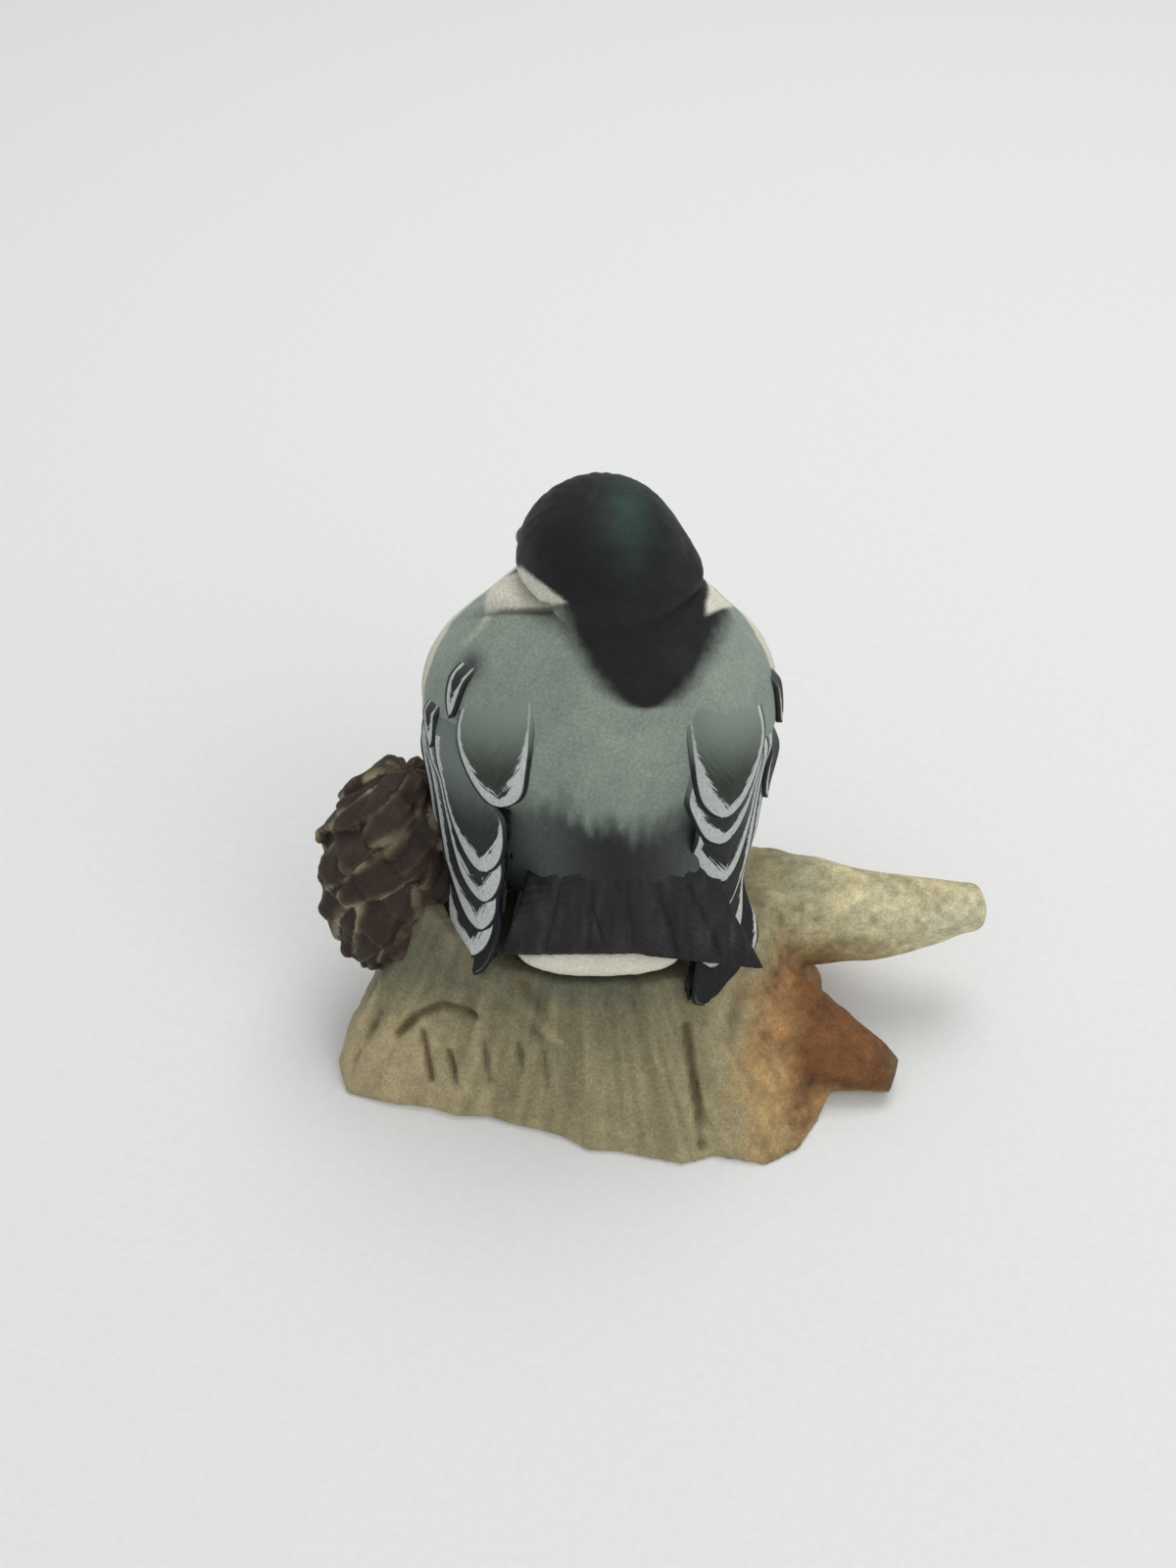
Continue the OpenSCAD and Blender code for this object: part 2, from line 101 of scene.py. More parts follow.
def fbm(p, size, octaves=3, seed=0):
    """Layered noise about -1 to 1; size is the largest grain in design millimetres, one or three numbers."""
    q = p / (np.array(size, float) * MM)
    total, gain, norm = 0, 1.0, 0
    for o in range(octaves):
        total = total + gain * value_noise(q * 2 ** o, seed + 17 * o)
        norm += gain
        gain *= 0.5
    return total / norm


def blur(grid, rows, cols, wrap):
    """Gaussian blur of a 2-D grid; rows and cols are the widths in samples, and wrap is for the columns."""
    def one(a, s, axis, around):
        if s <= 0:
            return a
        r = int(3 * s + 1)
        k = np.exp(-0.5 * (np.arange(-r, r + 1) / s) ** 2)
        k /= k.sum()
        pad = [(0, 0)] * a.ndim
        pad[axis] = (r, r)
        a = np.pad(a, pad, mode="wrap" if around else "edge")
        return np.apply_along_axis(lambda v: np.convolve(v, k, "valid"), axis, a)
    return one(one(grid, rows, 0, False), cols, 1, wrap)


# ---------------------------------------------------------------- meshes

def new_object(name, verts, faces):
    """Smooth-shaded mesh object."""
    me = bpy.data.meshes.new(name)
    me.from_pydata(np.asarray(verts).tolist(), [], faces if isinstance(faces, list) else faces.tolist())
    me.validate()
    ob = bpy.data.objects.new(name, me)
    bpy.context.scene.collection.objects.link(ob)
    me.shade_smooth()
    return ob


def set_attribute(me, key, values):
    """Stores a point attribute of 1, 3 or 4 numbers."""
    values = np.asarray(values, np.float32)
    if values.ndim == 1:
        a = me.attributes.new(key, "FLOAT", "POINT")
        a.data.foreach_set("value", values)
    else:
        if values.shape[1] == 3:
            values = np.hstack([values, np.ones((len(values), 1), np.float32)])
        a = me.attributes.new(key, "FLOAT_COLOR", "POINT")
        a.data.foreach_set("color", values.ravel())


def points_of(me):
    v = np.empty(len(me.vertices) * 3, np.float32)
    me.vertices.foreach_get("co", v)
    return v.reshape(-1, 3).astype(float)


def normals_of(me):
    v = np.empty(len(me.vertices) * 3, np.float32)
    me.vertex_normals.foreach_get("vector", v)
    return v.reshape(-1, 3).astype(float)


def move_points(me, points):
    me.vertices.foreach_set("co", np.asarray(points, np.float32).ravel())
    me.update()


def edges_of(me):
    e = np.empty(len(me.edges) * 2, np.int32)
    me.edges.foreach_get("vertices", e)
    return e.reshape(-1, 2)


def neighbour_mean(values, edges):
    n = len(values)
    count = np.bincount(edges.ravel(), minlength=n)[:, None]
    total = np.stack([np.bincount(edges[:, 0], values[edges[:, 1], k], n)
                      + np.bincount(edges[:, 1], values[edges[:, 0], k], n)
                      for k in range(values.shape[1])], 1)
    return total / np.maximum(count, 1)


def relax(points, edges, times):
    """Smooths points. Every second step pushes back out, so little volume is lost."""
    for _ in range(times):
        points = points + 0.55 * (neighbour_mean(points, edges) - points)
        points = points - 0.5 * (neighbour_mean(points, edges) - points)
    return points


def soften(values, edges, times):
    values = np.asarray(values, float).reshape(len(values), -1)
    for _ in range(times):
        values = 0.5 * values + 0.5 * neighbour_mean(values, edges)
    return values


def joined(name, nodes):
    """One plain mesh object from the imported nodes."""
    verts, faces, start = [], [], 0
    for n in nodes:
        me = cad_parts[n].data
        verts.append(points_of(me))
        faces += [[start + i for i in p.vertices] for p in me.polygons]
        start += len(me.vertices)
    return new_object(name, np.vstack(verts), faces)


def voxelled(ob, size):
    """The object's mesh rebuilt as one even skin with that grain, in design millimetres."""
    mod = ob.modifiers.new("even", "REMESH")
    mod.mode = "VOXEL"
    mod.voxel_size = size * MM
    mod.use_smooth_shade = True
    dg = bpy.context.evaluated_depsgraph_get()
    me = bpy.data.meshes.new_from_object(ob.evaluated_get(dg))
    ob.modifiers.clear()
    old = ob.data
    ob.data = me
    me.name = ob.name
    bpy.data.meshes.remove(old)
    me.shade_smooth()
    return me


def tree_of(*nodes):
    verts, faces, start = [], [], 0
    for n in nodes:
        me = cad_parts[n].data
        verts += [v.co.copy() for v in me.vertices]
        faces += [[start + i for i in p.vertices] for p in me.polygons]
        start += len(me.vertices)
    return BVHTree.FromPolygons(verts, faces)


def cast(name, nodes, grain, passes):
    """The nodes as one even, relaxed skin: the object, its mesh, its points and its edges."""
    ob = joined(name, nodes)
    me = voxelled(ob, grain)
    p, e = points_of(me), edges_of(me)
    p = relax(p, e, passes)
    move_points(me, p)
    return ob, me, p, e


def box_of(nodes):
    """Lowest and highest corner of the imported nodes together."""
    boxes = [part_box(k) for k in nodes]
    return np.min([np.array(b[0]) for b in boxes], axis=0), np.max([np.array(b[1]) for b in boxes], axis=0)


def curvature(me, points, edges, passes):
    """Positive on ridges and negative in hollows, in design millimetres."""
    normal = normals_of(me)
    soft = soften(points, edges, passes)
    return ((points - soft) * normal).sum(1) / MM


def finish_piece(ob, nodes, material, body="root"):
    ob.data.materials.clear()
    ob.data.materials.append(material)
    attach(ob, body)
    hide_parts(*nodes)
    return ob


# ---------------------------------------------------------------- materials

class Graph:
    """Short-hand for building a shader node tree."""

    def __init__(self, name):
        self.material = bpy.data.materials.new(name)
        self.material.use_nodes = True
        self.nodes = self.material.node_tree.nodes
        self.links = self.material.node_tree.links
        self.shader = self.nodes["Principled BSDF"]

    def put(self, socket, value):
        if hasattr(value, "is_linked") or hasattr(value, "links"):
            self.links.new(value, socket)
        else:
            socket.default_value = value

    def add(self, kind, inputs=None, out=0, **settings):
        n = self.nodes.new(kind)
        for k, v in settings.items():
            setattr(n, k, v)
        for k, v in (inputs or {}).items():
            self.put(n.inputs[k], v)
        return n.outputs[out]

    def math(self, operation, a, b):
        return self.add("ShaderNodeMath", {0: a, 1: b}, operation=operation)

    def times(self, a, b):
        return self.math("MULTIPLY", a, b)

    def noise(self, size, detail, rough):
        """Noise whose grain is size design millimetres."""
        place = self.add("ShaderNodeTexCoord", out="Object")
        return self.add("ShaderNodeTexNoise", {"Vector": place, "Scale": 1 / (size * MM), "Detail": detail,
                                               "Roughness": rough}, "Fac")

    def attribute(self, name, out="Color"):
        return self.add("ShaderNodeAttribute", out=out, attribute_name=name)

    def band(self, value, lo, hi, to_lo=0.0, to_hi=1.0):
        return self.add("ShaderNodeMapRange", {"Value": value, "From Min": lo, "From Max": hi,
                                               "To Min": to_lo, "To Max": to_hi},
                        interpolation_type="SMOOTHSTEP")

    def mix(self, fac, a, b, blend="MIX"):
        n = self.nodes.new("ShaderNodeMix")
        n.data_type = "RGBA"
        n.blend_type = blend
        self.put(n.inputs[0], fac)
        self.put(n.inputs[6], a)
        self.put(n.inputs[7], b)
        return n.outputs[2]

    def bump(self, height, depth, strength):
        """Bump of that depth in design millimetres."""
        return self.add("ShaderNodeBump", {"Height": height, "Distance": depth * MM, "Strength": strength})


def rgb(r, g, b):
    return (r, g, b, 1.0)


def bisque(name, roughness=0.62, speckle=0.16, grain=0.035):
    """Unglazed porcelain under airbrushed stain: the colours, with some painted light and shade among them, come
    with the mesh, and the nodes add the stain's stipple, pale clay showing through, and the fine grain of the
    bisque."""
    g = Graph(name)
    paint = g.attribute("paint")
    fine = g.noise(0.34, 3.0, 0.65)
    coarse = g.noise(1.9, 3.0, 0.6)
    dark = g.mix(g.times(g.band(fine, 0.48, 0.70), speckle * 2.4), paint,
                 g.mix(1.0, paint, rgb(0.50, 0.51, 0.50), "MULTIPLY"))
    light = g.mix(g.times(g.band(fine, 0.50, 0.30), speckle * 2.4), dark,
                  g.mix(1.0, paint, rgb(1.55, 1.55, 1.5), "MULTIPLY"))
    cloud = g.mix(g.times(g.band(coarse, 0.35, 0.72), 0.22), light,
                  g.mix(1.0, light, rgb(0.72, 0.73, 0.72), "MULTIPLY"))
    g.put(g.shader.inputs["Base Color"], cloud)
    g.put(g.shader.inputs["Roughness"], g.band(coarse, 0.3, 0.7, roughness - 0.07, roughness + 0.07))
    g.shader.inputs["Specular IOR Level"].default_value = 0.32
    height = g.math("ADD", g.times(g.noise(0.22, 2.0, 0.6), 0.6), fine)
    g.put(g.shader.inputs["Normal"], g.bump(height, grain, 1.0))
    return g.material


def feather_paint(name):
    """Painted feather: a dark margin of painted shadow, white edge line with barbed inner side, grey running into
    near black.
    """
    g = Graph(name)
    facts = g.add("ShaderNodeSeparateColor", {"Color": g.attribute("feather")}).node.outputs
    edge, along = facts[0], facts[2]
    plane = g.attribute("plane", "Vector")
    ids = g.attribute("plane", "Alpha")
    flat = g.add("ShaderNodeSeparateXYZ", {"Vector": plane}).node.outputs
    px, py = flat[0], flat[1]
    barb = g.math("ADD", py, g.times(g.math("ABSOLUTE", px, 0.0), 1.15))
    barb_place = g.add("ShaderNodeCombineXYZ", {0: g.times(barb, 3.0), 1: g.times(px, 0.6), 2: ids})
    teeth = g.add("ShaderNodeTexNoise", {"Vector": barb_place, "Scale": 1.0, "Detail": 2.0, "Roughness": 0.6},
                  "Fac")
    wobble_place = g.add("ShaderNodeCombineXYZ", {0: px, 1: py, 2: ids})
    wobble = g.add("ShaderNodeTexNoise", {"Vector": wobble_place, "Scale": 0.9, "Detail": 1.0}, "Fac")
    inner = g.math("ADD", g.times(g.math("SUBTRACT", teeth, 0.5), 1.9),
                   g.times(g.math("SUBTRACT", wobble, 0.5), 0.5))
    wide = g.attribute("rim", "Fac")
    outer_line = g.band(edge, 0.28, 0.44)
    inner_line = g.band(g.math("SUBTRACT", edge, g.times(inner, g.times(wide, 0.9))),
                        g.math("ADD", wide, 0.42), g.math("ADD", wide, 0.20))
    white = g.times(g.times(outer_line, inner_line), g.band(wide, 0.05, 0.22))
    stain = g.attribute("stain")
    tone = g.band(teeth, 0.3, 0.7, 0.72, 1.28)
    toned = g.mix(1.0, stain, g.add("ShaderNodeCombineColor", {0: tone, 1: tone, 2: tone}), "MULTIPLY")
    toned = g.mix(g.band(along, 0.35, 0.8), stain, toned)
    # Painted shadow: the outermost edge of each feather, outside the white line, painted near black.
    rim_shadow = g.times(g.band(edge, 0.55, 0.32), g.band(wide, 0.3, 0.8))
    dark = g.mix(g.times(rim_shadow, 0.9), toned, rgb(0.004, 0.005, 0.009))
    fine = g.noise(0.3, 3.0, 0.65)
    whiteness = g.mix(g.band(fine, 0.35, 0.75), rgb(0.60, 0.62, 0.60), rgb(0.40, 0.43, 0.43))
    g.put(g.shader.inputs["Base Color"], g.mix(g.times(white, 0.96), dark, whiteness))
    g.put(g.shader.inputs["Roughness"], g.band(fine, 0.3, 0.7, 0.52, 0.68))
    g.shader.inputs["Specular IOR Level"].default_value = 0.3
    height = g.math("ADD", g.times(teeth, 1.2), g.math("ADD", fine, g.times(white, 0.8)))
    g.put(g.shader.inputs["Normal"], g.bump(height, 0.05, 0.8))
    return g.material


def enamel(name, colour, roughness):
    g = Graph(name)
    cloud = g.noise(0.5, 3.0, 0.6)
    shaded = rgb(*[c * 0.55 for c in colour])
    g.put(g.shader.inputs["Base Color"], g.mix(g.band(cloud, 0.3, 0.7), rgb(*colour), shaded))
    g.put(g.shader.inputs["Roughness"], g.band(cloud, 0.3, 0.7, roughness, roughness + 0.1))
    g.put(g.shader.inputs["Normal"], g.bump(cloud, 0.01, 0.5))
    return g.material


def lay_on(col, over, amount):
    """Covers the colours with another by that share at each point."""
    a = np.clip(amount, 0, 1)[:, None]
    return col * (1 - a) + np.array(over) * a


# ---------------------------------------------------------------- the bird's skin

body_lo, body_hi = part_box("bird_body")
AXIS = np.array([(body_lo.x + body_hi.x) / 2, -1.0 * MM, 0.0])   # upright line that the shells are scanned about
BODY_RADIUS = 17                                    # the trunk's mean radius in design millimetres
RAY = 60                                            # a scan's rays start this far out, in design millimetres


def scan(tree, heights, turns):
    """Distance from the axis out to the first surface met from outside, on a grid; NaN where none is met."""
    out = np.full((len(heights), turns), np.nan)
    for i, z in enumerate(heights):
        for j in range(turns):
            a = 2 * math.pi * j / turns
            d = Vector((math.cos(a), math.sin(a), 0))
            start = Vector((AXIS[0], AXIS[1], z)) + d * RAY * MM
            hit = tree.ray_cast(start, -d, RAY * MM)[0]
            if hit is not None:
                out[i, j] = math.hypot(hit.x - AXIS[0], hit.y - AXIS[1])
    return out


def filled(grid):
    """The grid with its gaps filled in smoothly from their surroundings."""
    known = np.isfinite(grid)
    out = np.where(known, grid, np.nanmean(grid))
    for _ in range(400):
        up, down = np.vstack([out[1:], out[-1:]]), np.vstack([out[:1], out[:-1]])
        out = np.where(known, grid, (up + down + np.roll(out, 1, 1) + np.roll(out, -1, 1)) / 4)
    return out


class Shell:
    """A scanned surface round the upright axis that can be asked for points."""

    def __init__(self, nodes, z_lo, z_hi, step, turns, blur_mm, trunk_from=0.0, tail_from=99.0):
        """The trunk and the tail count above trunk_from and tail_from only; the nodes count everywhere."""
        self.z = np.arange(z_lo, z_hi, step) * MM
        self.turns = turns
        grid = scan(tree_of(*nodes), self.z, turns)
        trunk = scan(tree_of("bird_body"), self.z, turns)
        trunk[self.z < trunk_from * MM] = np.nan
        tail = scan(tree_of("tail"), self.z, turns)
        tail[self.z < tail_from * MM] = np.nan
        grid = filled(np.fmax(np.fmax(grid, trunk), tail))
        self.r = blur(grid, blur_mm / step, blur_mm / (2 * math.pi * BODY_RADIUS / turns), True)

    def lean(self, angle, z, radius, slope, farthest):
        """From a little above the height z downwards, lets the shell flare out to lie against the stump."""
        turn = (np.arange(self.turns) * 360 / self.turns - angle + 180) % 360 - 180
        height = self.z / MM
        flare = np.minimum(radius + slope * (z - height), farthest) * MM
        amount = smooth(z + 6.0, z - 3.0, height)[:, None] * smooth(36, 24, np.abs(turn))[None]
        self.r = self.r * (1 - amount) + flare[:, None] * amount

    def radius(self, angle, z):
        """Angle in degrees; arrays or numbers."""
        a = (np.asarray(angle, float) / 360 % 1) * self.turns
        i = np.clip((np.asarray(z, float) - self.z[0]) / (self.z[1] - self.z[0]), 0, len(self.z) - 1.001)
        i0, j0 = np.floor(i).astype(int), np.floor(a).astype(int)
        fi, fj = i - i0, a - j0
        j0, j1 = j0 % self.turns, (j0 + 1) % self.turns
        r = self.r
        return ((r[i0, j0] * (1 - fj) + r[i0, j1] * fj) * (1 - fi)
                + (r[i0 + 1, j0] * (1 - fj) + r[i0 + 1, j1] * fj) * fi)

    def point(self, angle, z, lift=0.0):
        r = self.radius(angle, z) + np.asarray(lift) * MM
        a = np.radians(angle)
        return np.stack([AXIS[0] + r * np.cos(a), AXIS[1] + r * np.sin(a), np.broadcast_to(z, r.shape)], -1)


WINGS = ["left_wing_coverts", "left_wing_tertials", "left_wing_primaries",
         "right_wing_coverts", "right_wing_tertials", "right_wing_primaries"]
body_shell = Shell(["left_wing_coverts", "right_wing_coverts", "left_flank", "right_flank"],
                   17.6, 64.0, 0.5, 200, 1.5, 0.0, 30.5)
wing_shell = Shell(WINGS, 12.0, 62.0, 0.5, 240, 1.0, 42.0)
wing_shell.lean(-131, 25.2, 21.0, 0.60, 24.4)
wing_shell.lean(-54, 25.2, 20.4, 0.50, 23.4)

head_lo, head_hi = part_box("head")
HEAD = np.array([(head_lo.x + head_hi.x) / 2 - 0.6 * MM, (head_lo.y + head_hi.y) / 2 - 0.4 * MM,
                 head_hi.z - 10.4 * MM])


def middle(node):
    lo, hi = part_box(node)
    return (np.array(lo) + np.array(hi)) / 2


def unit(v):
    return v / np.linalg.norm(v)


# The head's own frame: to its right, forward along the bill, and up.
head_right = unit(middle("right_eye") - middle("left_eye"))
forward = middle("upper_bill") - HEAD
head_forward = unit(forward - head_right * (forward @ head_right))
head_up = np.cross(head_right, head_forward)
if head_up[2] < 0:
    head_up = -head_up


def head_surface():
    """Head scanned from its own centre, as a closed ball of points."""
    tree = tree_of("head")
    lat_n, lon_n = 90, 150
    lats = np.linspace(-88, 88, lat_n)
    r = np.empty((lat_n, lon_n))
    for i, lat in enumerate(lats):
        for j in range(lon_n):
            lon = 2 * math.pi * j / lon_n
            c = math.cos(math.radians(lat))
            d = Vector((c * math.cos(lon), c * math.sin(lon), math.sin(math.radians(lat))))
            hit = tree.ray_cast(Vector(HEAD) + d * 30 * MM, -d, 30 * MM)[0]
            r[i, j] = (hit - Vector(HEAD)).length if hit is not None else 5 * MM
            if lat < -25:
                r[i, j] = max(r[i, j], 8.6 * MM)
    r = blur(r, 3.0, 4.0, True)
    verts = []
    for i, lat in enumerate(lats):
        c, s = math.cos(math.radians(lat)), math.sin(math.radians(lat))
        a = np.arange(lon_n) * 2 * math.pi / lon_n
        verts.append(HEAD + r[i][:, None] * np.stack([c * np.cos(a), c * np.sin(a), np.full(lon_n, s)], 1))
    return np.vstack(verts), lat_n, lon_n


def tube_faces(rows, cols, start=0):
    """Faces of a closed tube of rings whose first point has the number start."""
    i, j = np.meshgrid(np.arange(rows - 1), np.arange(cols), indexing="ij")
    j1 = (j + 1) % cols
    quads = np.stack([i * cols + j, i * cols + j1, (i + 1) * cols + j1, (i + 1) * cols + j], -1)
    faces = (quads.reshape(-1, 4) + start).tolist()
    faces.append((start + np.arange(cols)[::-1]).tolist())
    faces.append((start + (rows - 1) * cols + np.arange(cols)).tolist())
    return faces


def ahead_of(polar):
    """How far in front of the bird's side an angle lies, in degrees: 90 at the breast, -90 at the back."""
    return np.where(np.abs(polar) > 90, np.sign(polar) * (180 - np.abs(polar)), polar)


def make_skin():
    """Trunk, shoulders, flanks and head as one smooth cast, with brushed-in down."""
    angles = np.arange(body_shell.turns) * 360 / body_shell.turns
    rows = [body_shell.point(angles, z) for z in body_shell.z]
    trunk = np.vstack(rows)
    head, lat_n, lon_n = head_surface()
    faces = tube_faces(len(rows), body_shell.turns) + tube_faces(lat_n, lon_n, len(trunk))
    ob = new_object("bird_skin", np.vstack([trunk, head]), faces)
    me = voxelled(ob, 0.34)
    p, e = points_of(me), edges_of(me)
    z = p[:, 2] / MM
    neck = bell(z, 60.0, 5.5)
    p = relax(p, e, 6)
    for _ in range(130):
        p = p + 0.5 * neck[:, None] * (neighbour_mean(p, e) - p)
    move_points(me, p)
    n = normals_of(me)
    polar = np.degrees(np.arctan2(p[:, 1] - AXIS[1], p[:, 0] - AXIS[0]))
    front = smooth(-10, 30, ahead_of(polar))
    q = np.stack([polar * BODY_RADIUS * MM * math.pi / 180, p[:, 2], np.zeros(len(p))], 1)
    down = fbm(q, (0.9, 4.5, 5.0), 3, 5) + 0.5 * fbm(p, 5.0, 2, 9)
    x, y, z = (p / MM).T
    w = y + z
    cheeks = (1.1 * np.exp(-((x + 9.2) ** 2 + (y + 0.5) ** 2 + (z - 63.0) ** 2) / 10)
              + 1.2 * np.exp(-((x - 13.6) ** 2 + (y + 0.8) ** 2 + (z - 64.8) ** 2) / 14))
    crease = 0.6 * bell(w, 59.9, 0.75) * smooth(-1.5, -4.5, x) * smooth(3, 0, y)
    p = p + n * ((down * (0.035 + 0.10 * front) + cheeks - crease) * MM)[:, None]
    move_points(me, p)
    return ob


CHARCOAL = (0.017, 0.016, 0.017)


def rump_fade(p):
    """1 on the tail, 0 up the back, with a brushed edge between: low in the middle, higher at the sides."""
    x, w = p[:, 0] / MM, (p[:, 1] + p[:, 2]) / MM
    streak = fbm(np.stack([p[:, 0], p[:, 2] * 0.22, p[:, 1] * 0.22], 1), 1.0, 3, 51)
    return smooth(29.2, 22.6, w + 3.0 * streak - 4.0 * smooth(3, 9, np.abs(x - 4.6)))


def skin_paint(ob):
    """Airbrushed colours: black cap and bib, pale cheeks, grey-green back, cream breast, with some painted light
    and shade.
    """
    me = ob.data
    p = points_of(me)
    x, y, z = (p / MM).T
    polar = np.degrees(np.arctan2(p[:, 1] - AXIS[1], p[:, 0] - AXIS[0]))
    fuzz = fbm(p, 2.2, 4, 21)
    fine = fbm(p, 0.8, 3, 31)
    soft = fbm(p, 7.0, 3, 41)

    back_grey = np.array([0.225, 0.272, 0.232])
    back_pale_and_highlight = np.array([0.290, 0.335, 0.275])
    cream = np.array([0.56, 0.53, 0.40])
    white = np.array([0.66, 0.645, 0.54])
    ink = np.array([0.0045, 0.0045, 0.0055])
    smoke = np.array([0.040, 0.044, 0.032])
    teal = np.array([0.018, 0.060, 0.050])

    col = np.tile(back_grey, (len(p), 1))
    # Paler back in random patches, and a painted highlight in the middle of the back.
    col = lay_on(col, back_pale_and_highlight, smooth(-0.2, 0.7, soft + 0.5 * bell(z, 50, 9) * bell(x, 4, 8)))
    col = lay_on(col, (0.175, 0.215, 0.195), 0.8 * smooth(0.0, 0.8, soft - 0.02 * (z - 50)))

    # Cream underside and flanks, in front of the folded wings and the shoulders.
    ahead = ahead_of(polar)
    belly = smooth(-5, 5, ahead + 4 * fuzz - (-6 + 38 * smooth(46, 60, z)))
    col = lay_on(col, cream, belly)
    col = lay_on(col, white, belly * smooth(40, 58, z))
    col = lay_on(col, (0.40, 0.31, 0.17), 0.55 * belly * bell(ahead, 24, 18) * smooth(54, 34, z))

    # The face, in the head's own frame: black cap and bib, white cheeks.
    d = p - HEAD
    d = d / np.maximum(np.linalg.norm(d, axis=1), 1e-9)[:, None]
    hx, hy, hz = d @ head_right, d @ head_forward, d @ head_up
    cap = smooth(-0.03, 0.05, hz + 0.02 + 0.05 * fuzz)
    bib = (smooth(-0.06, -0.16, hz + 0.06 * fuzz) * smooth(-0.86, -0.74, hz) * smooth(0.15, 0.32, hy)
           * smooth(0.36, 0.26, np.abs(hx) + 0.22 * hz + 0.06 * fuzz))
    masked = np.clip(cap + bib, 0, 1)
    beyond = smooth(0.35, -0.35, x + 2.8 + 5.1 * (y + z - 60.8) / 6.1 + 0.3 * fuzz)
    masked = masked * (1 - beyond * smooth(0.55, 0.35, hy))
    high = smooth(57.5, 59.0, z + 0.6 * fuzz)

    # From behind: the cap runs down the nape to a rounded, smoky tip between two pale cheeks.
    w = y + z
    front = smooth(-0.02, 0.12, hy)
    rear = smooth(4, 0, y)
    soft_edge = 0.55 * fuzz + 0.45 * fine
    reach = 8.8 * np.sqrt(np.clip((w - 44.6) / 15.8, 0, 1))
    gap = np.abs(x - 6.3) - reach + 1.1 * soft_edge + 2.5 * smooth(45.2, 43.8, w)
    left_line = -2.8 - 5.1 * (w - 60.8) / 6.1
    left_cheek = (smooth(0.35, -0.35, x - left_line + 0.5 * soft_edge)
                  * smooth(-12.0, -11.0, x + 0.3 * soft_edge) * smooth(59.9, 60.5, w + 0.2 * soft_edge))
    outer_left = smooth(-11.0, -12.0, x) * smooth(66, 63, w)
    right_cheek = (smooth(-0.35, 0.35, x - 12.9 - 0.08 * (w - 58) + 0.4 * soft_edge) * smooth(66.4, 65.0, w)
                   * smooth(-0.5, 0.4, w - 59.6 - 0.75 * (x - 13.4)))
    cheeks = np.clip(left_cheek + right_cheek, 0, 1)
    crown_black = smooth(59.6, 60.6, w + 0.3 * soft_edge) * smooth(16.5, 15, x) * (1 - outer_left)
    col = lay_on(col, smoke, rear * smooth(2.6, 0.0, gap) * 0.75)
    col = lay_on(col, ink * 1.3, rear * smooth(0.8, -0.8, gap))
    black = front * high * masked + (1 - front) * crown_black * (1 - cheeks)
    pale_face = front * high * (1 - masked) + (1 - front) * cheeks
    # On the right the shoulder's grey runs right up to the neck.
    turned = np.clip(smooth(13.5, 15.5, x) * smooth(66, 63, w) + outer_left, 0, 1)
    pale_face = pale_face * (1 - front * turned * smooth(60, 40, ahead))
    col = col * (1 - black - pale_face)[:, None] + ink * black[:, None] + white * pale_face[:, None]
    # Painted shade: thin dark line in the crease under the left cheek and where the shoulders meet the neck.
    crease = bell(w, 59.6, 0.45) * smooth(-2.0, -4.5, x) * smooth(-12.5, -11, x) * rear
    col = lay_on(col, smoke, 0.75 * crease)

    # Painted sheen: a greenish highlight on the crown.
    crown = bell(np.hypot(x - 4.4, (w - 74.0) * 0.36), 0, 2.4) * (hz > 0)
    col = lay_on(col, teal, 0.62 * crown * smooth(-0.6, 0.4, fuzz + 0.6))

    behind = smooth(-2, -6, y)
    col = lay_on(col, CHARCOAL, behind * rump_fade(p) * bell(x, 3.5, 15))
    wing_shade = bell(np.abs(x - 1.4), 12.5, 2.6) * behind * smooth(52, 44, z) * smooth(30, 36, z)
    col = lay_on(col, (0.07, 0.085, 0.075), 0.4 * wing_shade)
    spot = bell(np.hypot(x + 12.9, (w - 51.6) * 0.6), 0, 1.5) * smooth(2, -2, y)
    col = lay_on(col, (0.022, 0.030, 0.030), 0.85 * spot)
    col = lay_on(col, (0.08, 0.09, 0.07), 0.45 * smooth(26, 18, z) * (1 - behind))
    set_attribute(me, "paint", np.clip(col, 0, 1))


# ---------------------------------------------------------------- feathers

